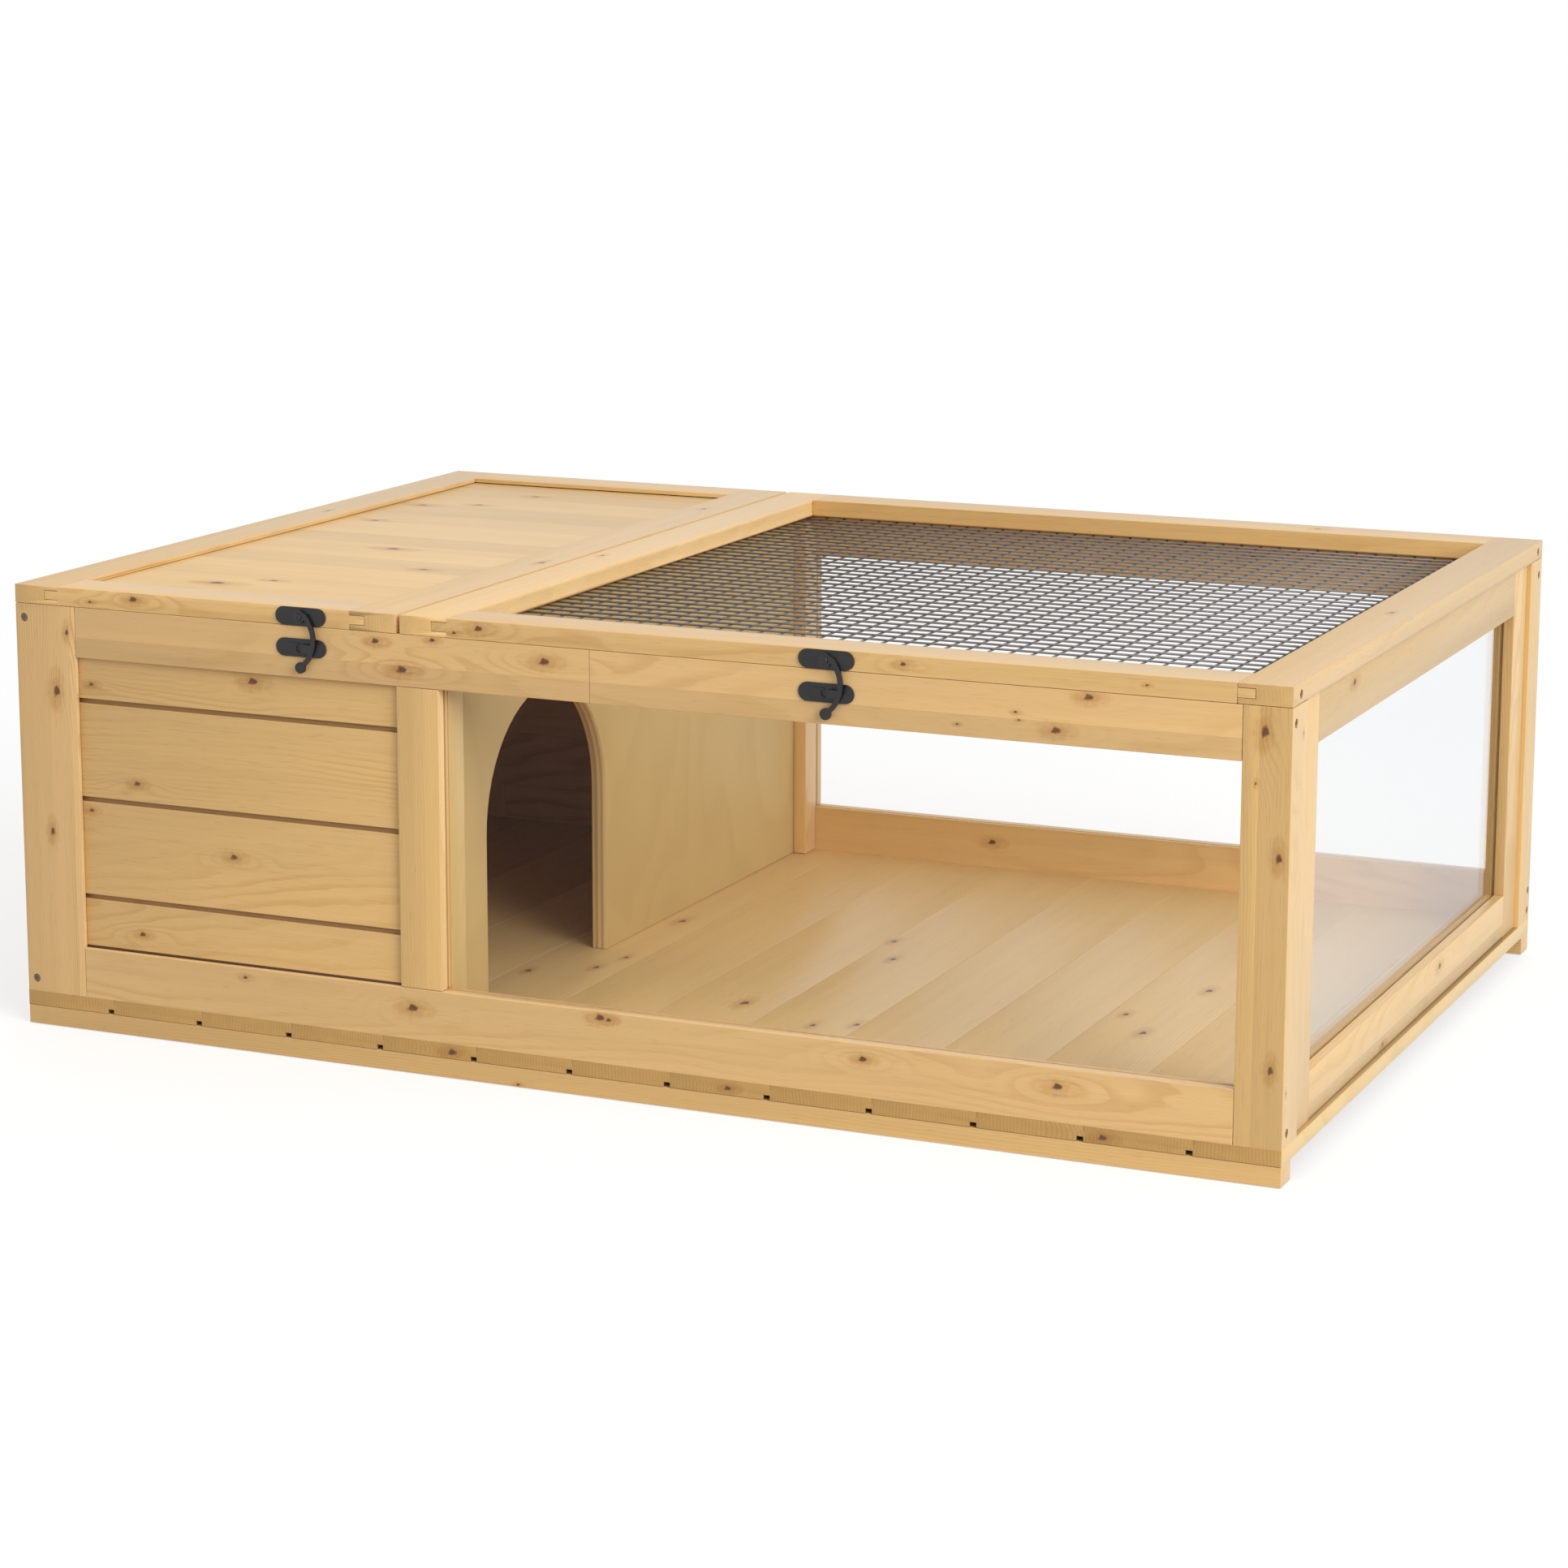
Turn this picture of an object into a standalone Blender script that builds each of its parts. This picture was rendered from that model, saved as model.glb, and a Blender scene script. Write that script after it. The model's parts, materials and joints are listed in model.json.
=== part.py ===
"""Tortoise house: a planed pine box with a boarded sleeping room, a glazed run and two hinged lids.

Every place below is a layout place: X from the outer left face, Y from the outer front face towards the
back, Z up from the ground, in metres. The function place() turns it into the model's frame, whose origin is
the middle of the base.
"""
import math

import bmesh
import bpy
from mathutils import Matrix, Vector

# Clearance between pieces that touch, how far a cutter runs past its piece, and what counts as one point
GAP = 0.0003
OVERRUN = 0.002
WELD = 0.000003

# Overall size
WIDTH = 0.980
DEPTH = 0.6833

# Base: two skids under a floor of tongued planks that run from front to back
SKID_HEIGHT = 0.0138
SKID_DEPTH = 0.0215
FLOOR_THICKNESS = 0.0115
FIRST_PLANK_WIDTH = 0.0754
PLANK_PITCH = 0.0767
LEAST_PLANK_WIDTH = 0.030
PLANK_TONGUE_THICKNESS = 0.0034
PLANK_LOWER_LIP = 0.0038
PLANK_RELIEF = 0.0051

# Frame stock of the walls and lids
RAIL_WIDTH = 0.0375
RAIL_THICKNESS = 0.0138
REBATE_LAP = 0.007

# Walls
WALL_HEIGHT = 0.2955
BOARDED_WIDTH = 0.2702
MULLION_WIDTH = 0.0335
END_STILE_WIDTH = 0.0115
LEG_WIDTH = 0.022
LEG_DEPTH = 0.0344
SIDE_RECESS = 0.0035
SIDE_TOP_RAIL = 0.036
SIDE_BOTTOM_RAIL = 0.034

# Siding boards, tongue up so that they shed water
BOARD_RECESS = 0.004
BOARD_PITCH = 0.0743
TOP_BOARD_FACE = 0.031
BOARD_REVEAL = 0.0035
BOARD_TONGUE_SETBACK = 0.003
BOARD_TONGUE_THICKNESS = 0.0035
BOARD_TONGUE_LENGTH = 0.0045

# Clear window panes
PANE_RECESS = 0.0086
PANE_THICKNESS = 0.002

# Partition between the two rooms, with its doorway and the battens that hold it
PARTITION_THICKNESS = 0.012
DOORWAY_START = 0.090
DOORWAY_WIDTH = 0.195
DOORWAY_HEIGHT = 0.2285
BATTEN_WIDTH = 0.0112
BATTEN_DEPTH = 0.0216
BATTEN_HEADROOM = 0.006

# Lids
LID_SPACE = 0.0033
TENON_LENGTH = 0.012
TENON_THICKNESS = 0.0064
TENON_LEVEL = 0.004
LID_PANEL_RECESS = 0.0041

# Square wire mesh under the right lid
WIRE_WIDTH = 0.0015
WIRE_PITCH = 0.0368
MESH_LAP = 0.006

# Butt hinges on the back faces
HINGE_LENGTH = 0.030
HINGE_INSET = 0.070
HINGE_LEAF_HEIGHT = 0.0125
HINGE_LEAF_THICKNESS = 0.0012
KNUCKLE_RADIUS = 0.003
KNUCKLE_LENGTH = 0.010
HINGE_PIN_RADIUS = 0.0011
HINGE_STANDOFF = 0.0002

# Swing hook latches on the front
LEFT_LATCH_INSET = 0.0769
RIGHT_LATCH_INSET = 0.326
LATCH_PLATE_LENGTH = 0.0413
LATCH_PLATE_HEIGHT = 0.0133
LATCH_PLATE_THICKNESS = 0.001
LATCH_PLATE_DROP = 0.0228
RIVET_BOSS_RADIUS = 0.0042
RIVET_BOSS_HEIGHT = 0.001
RIVET_SHANK_RADIUS = 0.0019
RIVET_HEAD_RADIUS = 0.003
RIVET_HEAD_HEIGHT = 0.001
HOOK_THICKNESS = 0.0022
HOOK_WIDTH = 0.0035
HOOK_HUB_RADIUS = 0.0048
HOOK_END_RADIUS = 0.0041
HOOK_REACH = 0.0116
HOOK_DROP = 0.0368
HOOK_END_OFFSET = 0.0009
HOOK_LUG_START = 0.002
HOOK_LUG_HEIGHT = 0.006
KEEPER_LENGTH = 0.0115
KEEPER_HEIGHT = 0.0072
KEEPER_END_OFFSET = 0.0007
KEEPER_MOUTH_LENGTH = 0.0022
KEEPER_MOUTH_HEIGHT = 0.0048

# The hook arm's centre line, hub to end disc: sideways as shares of its reach, down as shares of its drop
HOOK_ARM_SHARES = (
    (0.43, 0.04), (0.64, -0.07), (0.895, -0.235), (1.0, -0.40),
    (0.99, -0.565), (0.86, -0.69), (0.70, -0.785), (0.55, -0.86),
)
HOOK_HUB_SHOULDER = math.radians(62)
HOOK_HUB_THROAT = math.radians(331)

# Fineness of round shapes
ARCH_STEPS = 28
ROUND_STEPS = 20
SMALL_ROUND_STEPS = 16
DOME_STEPS = 4
ARM_STEPS = 4

# Heights worked out from the sizes above
FLOOR_BOTTOM = SKID_HEIGHT + GAP
FLOOR_TOP = FLOOR_BOTTOM + FLOOR_THICKNESS
WALL_BOTTOM = FLOOR_TOP + GAP
WALL_TOP = WALL_BOTTOM + WALL_HEIGHT
PANEL_BOTTOM = WALL_BOTTOM + RAIL_WIDTH
PANEL_TOP = WALL_TOP - RAIL_WIDTH
LID_BOTTOM = WALL_TOP + GAP
LID_TOP = LID_BOTTOM + RAIL_THICKNESS

# Stations along the front and the back wall
CORNER_STILE_WIDTH = RAIL_WIDTH + RAIL_THICKNESS
MULLION_LEFT = CORNER_STILE_WIDTH + BOARDED_WIDTH
WINDOW_LEFT = MULLION_LEFT + MULLION_WIDTH
LEG_LEFT = WIDTH - LEG_WIDTH
WINDOW_RIGHT = LEG_LEFT - END_STILE_WIDTH
PARTITION_LEFT = MULLION_LEFT + (MULLION_WIDTH - PARTITION_THICKNESS) / 2
PARTITION_RIGHT = PARTITION_LEFT + PARTITION_THICKNESS
INNER_FRONT = RAIL_THICKNESS + GAP
INNER_BACK = DEPTH - RAIL_THICKNESS - GAP

# Latch levels: distances in front of the front face, and heights
HOOK_BACK = LATCH_PLATE_THICKNESS + RIVET_BOSS_HEIGHT + 2 * GAP
HOOK_FRONT = HOOK_BACK + HOOK_THICKNESS
RIVET_HEAD_BASE = HOOK_FRONT + GAP
FRONT_PROUD = RIVET_HEAD_BASE + RIVET_HEAD_HEIGHT
LATCH_LEVEL = (LID_BOTTOM + LID_TOP) / 2
KEEPER_LEVEL = LATCH_LEVEL - LATCH_PLATE_DROP

# Hinge axis, behind the seam under the lids
HINGE_Y = DEPTH + GAP + HINGE_STANDOFF + KNUCKLE_RADIUS
HINGE_Z = (WALL_TOP + LID_BOTTOM) / 2
BACK_PROUD = HINGE_Y + KNUCKLE_RADIUS - DEPTH

# The model's origin: the middle of the whole outline, on the ground
ORIGIN = Vector((WIDTH / 2, (DEPTH + BACK_PROUD - FRONT_PROUD) / 2, 0))

# Finishes: base colour, roughness and metallic value
PINE = ((0.80, 0.55, 0.27), 0.6, 0.0)
PLYWOOD = ((0.62, 0.40, 0.19), 0.7, 0.0)
CLEAR = ((0.88, 0.92, 0.92), 0.05, 0.0)
BLACK_METAL = ((0.012, 0.012, 0.013), 0.4, 0.6)
GREY_WIRE = ((0.09, 0.085, 0.085), 0.5, 0.3)

QUARTER_TURN = math.pi / 2
SMOOTH_ANGLE = math.radians(50)


def clear_scene():
    for item in list(bpy.data.objects):
        bpy.data.objects.remove(item, do_unlink=True)


def new_collection(name):
    group = bpy.data.collections.new(name)
    bpy.context.scene.collection.children.link(group)
    return group


clear_scene()
PARTS = new_collection("Tortoise house")
CUTTERS = new_collection("Cutters")


def place(x, y, z):
    """A layout place in the model's frame."""
    return Vector((x, y, z)) - ORIGIN


def finish(piece, look):
    """Give a piece its own material."""
    colour, roughness, metallic = look
    material = bpy.data.materials.new(piece.name)
    material.use_nodes = True
    shader = material.node_tree.nodes["Principled BSDF"]
    shader.inputs["Base Color"].default_value = (*colour, 1)
    shader.inputs["Roughness"].default_value = roughness
    shader.inputs["Metallic"].default_value = metallic
    piece.data.materials.append(material)


def add(name, data, look):
    """Link a new object: a part with its finish, or a cutter where look is None."""
    item = bpy.data.objects.new(name, data)
    if look is None:
        CUTTERS.objects.link(item)
        item.display_type = "WIRE"
        item.hide_render = True
    else:
        PARTS.objects.link(item)
        finish(item, look)
    return item


def box(name, look, x, y, z):
    """A box from its spans along the three axes, each a pair of layout values in any order."""
    low = place(min(x), min(y), min(z))
    high = place(max(x), max(y), max(z))
    shape = bmesh.new()
    bmesh.ops.create_cube(shape, size=1.0, matrix=Matrix.Diagonal((high - low).to_4d()))
    mesh = bpy.data.meshes.new(name)
    shape.to_mesh(mesh)
    shape.free()
    item = add(name, mesh, look)
    item.location = (low + high) / 2
    return item


def extrusion(name, look, outlines, along, span):
    """Flat outlines drawn out along an axis.

    An outline's points are (x, z) for a piece that runs along Y, (y, z) along X, and (x, y) along Z.
    """
    middle = (span[0] + span[1]) / 2
    curve = bpy.data.curves.new(name, "CURVE")
    curve.dimensions = "2D"
    curve.fill_mode = "BOTH"
    curve.extrude = abs(span[1] - span[0]) / 2
    for outline in outlines:
        spline = curve.splines.new("POLY")
        spline.points.add(len(outline) - 1)
        for point, (across, up) in zip(spline.points, outline):
            point.co = (across, up, 0, 1)
        spline.use_cyclic_u = True
    item = add(name, curve, look)
    if along == "Y":
        item.location = place(0, middle, 0)
        item.rotation_euler = (QUARTER_TURN, 0, 0)
    elif along == "X":
        item.location = place(middle, 0, 0)
        item.rotation_euler = (QUARTER_TURN, 0, QUARTER_TURN)
    else:
        item.location = place(0, 0, middle)
    return item


def as_mesh(item):
    """Turn a curve object into a mesh object with welded caps, so that it can be cut or joined."""
    name = item.name
    group = item.users_collection[0]
    mesh = bpy.data.meshes.new_from_object(item.evaluated_get(bpy.context.evaluated_depsgraph_get()))
    shape = bmesh.new()
    shape.from_mesh(mesh)
    bmesh.ops.remove_doubles(shape, verts=shape.verts, dist=WELD)
    shape.to_mesh(mesh)
    shape.free()
    solid = bpy.data.objects.new(name, mesh)
    solid.matrix_world = item.matrix_world
    solid.hide_render = item.hide_render
    solid.display_type = item.display_type
    group.objects.link(solid)
    bpy.data.objects.remove(item, do_unlink=True)
    solid.name = name
    return solid


def boolean(piece, other, operation):
    step = piece.modifiers.new(other.name, "BOOLEAN")
    step.operation = operation
    step.object = other
    step.solver = "EXACT"


def cut(cutter, *pieces):
    for piece in pieces:
        boolean(piece, cutter, "DIFFERENCE")


def rod(name, look, radius, start, end, sides):
    """A round rod between two layout places."""
    start = place(*start)
    end = place(*end)
    axis = end - start
    shape = bmesh.new()
    sizes = {"radius1": radius, "radius2": radius, "depth": axis.length}
    bmesh.ops.create_cone(shape, cap_ends=True, segments=sides, **sizes)
    mesh = bpy.data.meshes.new(name)
    shape.to_mesh(mesh)
    shape.free()
    mesh.shade_smooth()
    mesh.set_sharp_from_angle(angle=SMOOTH_ANGLE)
    item = add(name, mesh, look)
    item.location = (start + end) / 2
    item.rotation_euler = axis.to_track_quat("Z", "Y").to_euler()
    return item


def arc(centre, radius, start, end, steps):
    """Points along an arc, its two ends included."""
    points = []
    for step in range(steps + 1):
        angle = start + (end - start) * step / steps
        points.append((centre[0] + radius * math.cos(angle), centre[1] + radius * math.sin(angle)))
    return points


def stadium(centre, length, height):
    """A plate outline with round ends."""
    radius = height / 2
    reach = length / 2 - radius
    right = arc((centre[0] + reach, centre[1]), radius, -QUARTER_TURN, QUARTER_TURN, ROUND_STEPS // 2)
    left = arc((centre[0] - reach, centre[1]), radius, QUARTER_TURN, 3 * QUARTER_TURN, ROUND_STEPS // 2)
    return right + left


def rectangle(low_x, high_x, low_y, high_y):
    return [(low_x, low_y), (high_x, low_y), (high_x, high_y), (low_x, high_y)]


def carry(carrier, *pieces):
    """Parent pieces to the empty on their joint's axis, leaving them where they are."""
    bpy.context.view_layer.update()
    for piece in pieces:
        piece.parent = carrier
        piece.matrix_parent_inverse = carrier.matrix_world.inverted()


def axis_mark(name, where):
    mark = bpy.data.objects.new(name, None)
    PARTS.objects.link(mark)
    mark.location = where
    return mark


# Base


def make_skids():
    height = (0, SKID_HEIGHT)
    box("front_skid", PINE, (0, WIDTH), (0, SKID_DEPTH), height)
    box("rear_skid", PINE, (0, WIDTH), (DEPTH - SKID_DEPTH, DEPTH), height)


def make_floor():
    """The floor's planks, tongued together, with a fine seam above and a relieved lip below each joint."""
    joints = []
    joint = FIRST_PLANK_WIDTH
    while joint < WIDTH - LEAST_PLANK_WIDTH:
        joints.append(joint)
        joint += PLANK_PITCH
    tongue_low = FLOOR_BOTTOM + PLANK_LOWER_LIP
    tongue_high = tongue_low + PLANK_TONGUE_THICKNESS
    underside = [(0, FLOOR_BOTTOM)]
    face = [(0, FLOOR_TOP)]
    for joint in joints:
        lip = joint - PLANK_RELIEF
        underside += [(lip, FLOOR_BOTTOM), (lip, tongue_low), (joint, tongue_low), (joint, FLOOR_BOTTOM)]
        seam = joint + GAP
        face += [(joint, FLOOR_TOP), (joint, tongue_high), (seam, tongue_high), (seam, FLOOR_TOP)]
    underside.append((WIDTH, FLOOR_BOTTOM))
    face.append((WIDTH, FLOOR_TOP))
    extrusion("floor", PINE, [underside + face[::-1]], "Y", (0, DEPTH))


# Walls


def board_joints():
    """Heights of the joints between siding boards, from the top down."""
    joints = []
    joint = PANEL_TOP - TOP_BOARD_FACE
    while joint > PANEL_BOTTOM + BOARD_REVEAL:
        joints.append(joint)
        joint -= BOARD_PITCH
    return joints


def board_outline(inward, top, bottom, is_first, is_last):
    """Section of one siding board. The function inward places a depth into the wall."""
    face = inward(BOARD_RECESS)
    back = inward(RAIL_THICKNESS)
    tongue_face = inward(BOARD_RECESS + BOARD_TONGUE_SETBACK)
    tongue_back = inward(BOARD_RECESS + BOARD_TONGUE_SETBACK + BOARD_TONGUE_THICKNESS)
    groove_face = inward(BOARD_RECESS + BOARD_TONGUE_SETBACK - GAP)
    groove_back = inward(BOARD_RECESS + BOARD_TONGUE_SETBACK + BOARD_TONGUE_THICKNESS + GAP)
    points = [(face, bottom)]
    if is_first:
        points += [(face, top), (back, top)]
    else:
        crest = top + BOARD_TONGUE_LENGTH
        points += [(face, top - BOARD_REVEAL), (tongue_face, top - BOARD_REVEAL), (tongue_face, crest)]
        points += [(tongue_back, crest), (tongue_back, top), (back, top)]
    points.append((back, bottom))
    if not is_last:
        crown = bottom + BOARD_TONGUE_LENGTH + GAP
        points += [(groove_back, bottom), (groove_back, crown), (groove_face, crown), (groove_face, bottom)]
    return points


def make_boards(name, inward, along, span):
    """Separate siding boards, named from the top down."""
    low, high = panel_height(GAP)
    joints = board_joints()
    tops = [high] + [joint - GAP for joint in joints]
    bottoms = joints + [low]
    last = len(joints)
    for index, (top, bottom) in enumerate(zip(tops, bottoms)):
        outline = board_outline(inward, top, bottom, index == 0, index == last)
        extrusion(name + "_" + str(index + 1), PINE, [outline], along, span)


def make_board_panel(name, inward, along, span):
    """The same siding as one piece, glued at its tongues."""
    face = inward(BOARD_RECESS)
    back = inward(RAIL_THICKNESS)
    tongue_face = inward(BOARD_RECESS + BOARD_TONGUE_SETBACK)
    tongue_back = inward(BOARD_RECESS + BOARD_TONGUE_SETBACK + BOARD_TONGUE_THICKNESS)
    low, high = panel_height(GAP)
    outside = [(face, high)]
    inside = [(back, high)]
    for joint in board_joints():
        shoulder = joint - BOARD_REVEAL
        outside += [(face, joint), (tongue_face, joint), (tongue_face, shoulder), (face, shoulder)]
        seam = joint - GAP
        inside += [(back, joint), (tongue_back, joint), (tongue_back, seam), (back, seam)]
    outside.append((face, low))
    inside.append((back, low))
    extrusion(name, PINE, [outside + inside[::-1]], along, span)


def panel_height(clearance):
    """Height span of what fills a wall's frame and laps into it, less a clearance at each end."""
    return (PANEL_BOTTOM - REBATE_LAP + clearance, PANEL_TOP + REBATE_LAP - clearance)


def make_long_wall(side, inward, fill):
    """The front or the back wall: a frame with boards at the left and a window at the right."""
    thickness = (inward(0), inward(RAIL_THICKNESS))
    full = (WALL_BOTTOM, WALL_TOP)
    rails_x = (CORNER_STILE_WIDTH + GAP, WINDOW_RIGHT - GAP)
    corner_stile = box(side + "_corner_stile", PINE, (0, CORNER_STILE_WIDTH), thickness, full)
    top_rail = box(side + "_top_rail", PINE, rails_x, thickness, (PANEL_TOP, WALL_TOP))
    bottom_rail = box(side + "_bottom_rail", PINE, rails_x, thickness, (WALL_BOTTOM, PANEL_BOTTOM))
    mullion_z = (PANEL_BOTTOM + GAP, PANEL_TOP - GAP)
    mullion = box(side + "_mullion", PINE, (MULLION_LEFT, WINDOW_LEFT), thickness, mullion_z)
    end_stile = box(side + "_end_stile", PINE, (WINDOW_RIGHT, LEG_LEFT - GAP), thickness, full)

    boards_x = (CORNER_STILE_WIDTH - REBATE_LAP, MULLION_LEFT + REBATE_LAP)
    board_rebate_y = (inward(BOARD_RECESS - GAP), inward(RAIL_THICKNESS + OVERRUN))
    board_rebate = box(side + "_board_rebate", None, boards_x, board_rebate_y, panel_height(0))
    cut(board_rebate, corner_stile, top_rail, bottom_rail, mullion)
    fill(side + "_boards", inward, "X", (boards_x[0] + GAP, boards_x[1] - GAP))

    pane_x = (WINDOW_LEFT - REBATE_LAP, WINDOW_RIGHT + REBATE_LAP)
    pane_groove_y = (inward(PANE_RECESS - GAP), inward(PANE_RECESS + PANE_THICKNESS + GAP))
    pane_groove = box(side + "_pane_groove", None, pane_x, pane_groove_y, panel_height(0))
    cut(pane_groove, mullion, top_rail, bottom_rail, end_stile)
    pane_y = (inward(PANE_RECESS), inward(PANE_RECESS + PANE_THICKNESS))
    box(side + "_pane", CLEAR, (pane_x[0] + GAP, pane_x[1] - GAP), pane_y, panel_height(GAP))


def make_left_wall():
    thickness = (0, RAIL_THICKNESS)
    full = (WALL_BOTTOM, WALL_TOP)
    front_edge = INNER_FRONT + RAIL_WIDTH
    rear_edge = INNER_BACK - RAIL_WIDTH
    rails_y = (front_edge + GAP, rear_edge - GAP)
    front_stile = box("left_front_stile", PINE, thickness, (INNER_FRONT, front_edge), full)
    rear_stile = box("left_rear_stile", PINE, thickness, (rear_edge, INNER_BACK), full)
    top_rail = box("left_top_rail", PINE, thickness, rails_y, (PANEL_TOP, WALL_TOP))
    bottom_rail = box("left_bottom_rail", PINE, thickness, rails_y, (WALL_BOTTOM, PANEL_BOTTOM))

    boards_y = (front_edge - REBATE_LAP, rear_edge + REBATE_LAP)
    rebate_x = (BOARD_RECESS - GAP, RAIL_THICKNESS + OVERRUN)
    rebate = box("left_board_rebate", None, rebate_x, boards_y, panel_height(0))
    cut(rebate, front_stile, rear_stile, top_rail, bottom_rail)
    make_board_panel("left_boards", lambda depth: depth, "Y", (boards_y[0] + GAP, boards_y[1] - GAP))


def make_right_wall():
    """Two legs with a window frame held back between them."""
    full = (WALL_BOTTOM, WALL_TOP)
    legs_x = (LEG_LEFT, WIDTH)
    box("right_front_leg", PINE, legs_x, (0, LEG_DEPTH), full)
    box("right_rear_leg", PINE, legs_x, (DEPTH - LEG_DEPTH, DEPTH), full)

    outer = WIDTH - SIDE_RECESS
    inner = outer - RAIL_THICKNESS
    thickness = (inner, outer)
    front = LEG_DEPTH + GAP
    rear = DEPTH - LEG_DEPTH - GAP
    front_edge = front + RAIL_WIDTH
    rear_edge = rear - RAIL_WIDTH
    rails_y = (front_edge + GAP, rear_edge - GAP)
    window_bottom = WALL_BOTTOM + SIDE_BOTTOM_RAIL
    window_top = WALL_TOP - SIDE_TOP_RAIL
    front_stile = box("right_front_stile", PINE, thickness, (front, front_edge), full)
    rear_stile = box("right_rear_stile", PINE, thickness, (rear_edge, rear), full)
    top_rail = box("right_top_rail", PINE, thickness, rails_y, (window_top, WALL_TOP))
    bottom_rail = box("right_bottom_rail", PINE, thickness, rails_y, (WALL_BOTTOM, window_bottom))

    pane_y = (front_edge - REBATE_LAP, rear_edge + REBATE_LAP)
    pane_z = (window_bottom - REBATE_LAP, window_top + REBATE_LAP)
    groove_x = (outer - PANE_RECESS - PANE_THICKNESS - GAP, outer - PANE_RECESS + GAP)
    groove = box("right_pane_groove", None, groove_x, pane_y, pane_z)
    cut(groove, front_stile, rear_stile, top_rail, bottom_rail)
    pane_x = (outer - PANE_RECESS - PANE_THICKNESS, outer - PANE_RECESS)
    box("right_pane", CLEAR, pane_x, (pane_y[0] + GAP, pane_y[1] - GAP), (pane_z[0] + GAP, pane_z[1] - GAP))


# Partition


def make_partition():
    radius = DOORWAY_WIDTH / 2
    centre = DOORWAY_START + radius
    springing = WALL_BOTTOM + DOORWAY_HEIGHT - radius
    arch = arc((centre, springing), radius, math.pi, 0, ARCH_STEPS)
    doorway = [(DOORWAY_START, WALL_BOTTOM)] + arch + [(DOORWAY_START + DOORWAY_WIDTH, WALL_BOTTOM)]
    outline = [(INNER_FRONT, WALL_TOP), (INNER_FRONT, WALL_BOTTOM)] + doorway
    outline += [(INNER_BACK, WALL_BOTTOM), (INNER_BACK, WALL_TOP)]
    extrusion("partition", PLYWOOD, [outline], "X", (PARTITION_LEFT, PARTITION_RIGHT))

    battens_x = (PARTITION_RIGHT + GAP, PARTITION_RIGHT + GAP + BATTEN_WIDTH)
    battens_z = (WALL_BOTTOM, WALL_TOP - BATTEN_HEADROOM)
    box("partition_front_batten", PINE, battens_x, (INNER_FRONT, INNER_FRONT + BATTEN_DEPTH), battens_z)
    box("partition_rear_batten", PINE, battens_x, (INNER_BACK - BATTEN_DEPTH, INNER_BACK), battens_z)


# Lids


def tenoned_rail(name, left_edge, right_edge, y):
    """A lid's front or back rail, with a tenon at each end that enters the side rails."""
    rail = box(name, PINE, (left_edge + GAP, right_edge - GAP), y, (LID_BOTTOM, LID_TOP))
    low = LID_BOTTOM + TENON_LEVEL
    tips = (left_edge - TENON_LENGTH, right_edge + TENON_LENGTH)
    boolean(rail, box(name + "_tenons", None, tips, y, (low, low + TENON_THICKNESS)), "UNION")
    return rail


def make_lid_frame(side, left, right):
    """Four rails joined by bridle joints that show in the front and back edges."""
    left_edge = left + RAIL_WIDTH
    right_edge = right - RAIL_WIDTH
    height = (LID_BOTTOM, LID_TOP)
    left_rail = box(side + "_lid_left_rail", PINE, (left, left_edge), (0, DEPTH), height)
    right_rail = box(side + "_lid_right_rail", PINE, (right_edge, right), (0, DEPTH), height)
    front_rail = tenoned_rail(side + "_lid_front_rail", left_edge, right_edge, (0, RAIL_WIDTH))
    back_rail = tenoned_rail(side + "_lid_back_rail", left_edge, right_edge, (DEPTH - RAIL_WIDTH, DEPTH))

    slot_x = (left_edge - TENON_LENGTH - GAP, right_edge + TENON_LENGTH + GAP)
    slot_z = (LID_BOTTOM + TENON_LEVEL - GAP, LID_BOTTOM + TENON_LEVEL + TENON_THICKNESS + GAP)
    front_y = (-OVERRUN, RAIL_WIDTH + GAP)
    back_y = (DEPTH - RAIL_WIDTH - GAP, DEPTH + OVERRUN)
    front_slot = box(side + "_lid_front_slot", None, slot_x, front_y, slot_z)
    back_slot = box(side + "_lid_back_slot", None, slot_x, back_y, slot_z)
    cut(front_slot, left_rail, right_rail)
    cut(back_slot, left_rail, right_rail)
    return [left_rail, right_rail, front_rail, back_rail]


def make_lid_panel(rails, left, right):
    """The left lid's panel, in a rebate open from below."""
    panel_x = (left + RAIL_WIDTH - REBATE_LAP, right - RAIL_WIDTH + REBATE_LAP)
    panel_y = (RAIL_WIDTH - REBATE_LAP, DEPTH - RAIL_WIDTH + REBATE_LAP)
    panel_top = LID_TOP - LID_PANEL_RECESS
    rebate = box("left_lid_rebate", None, panel_x, panel_y, (LID_BOTTOM - OVERRUN, panel_top + GAP))
    cut(rebate, *rails)
    inset_x = (panel_x[0] + GAP, panel_x[1] - GAP)
    inset_y = (panel_y[0] + GAP, panel_y[1] - GAP)
    return box("left_lid_panel", PINE, inset_x, inset_y, (LID_BOTTOM, panel_top))


def wire_places(start, end):
    """Places of a row of wires, centred on an opening and lapped past both its edges by about the lap."""
    count = round((end - start + 2 * MESH_LAP) / WIRE_PITCH)
    first = (start + end - count * WIRE_PITCH) / 2
    return [first + index * WIRE_PITCH for index in range(count + 1)]


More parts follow.
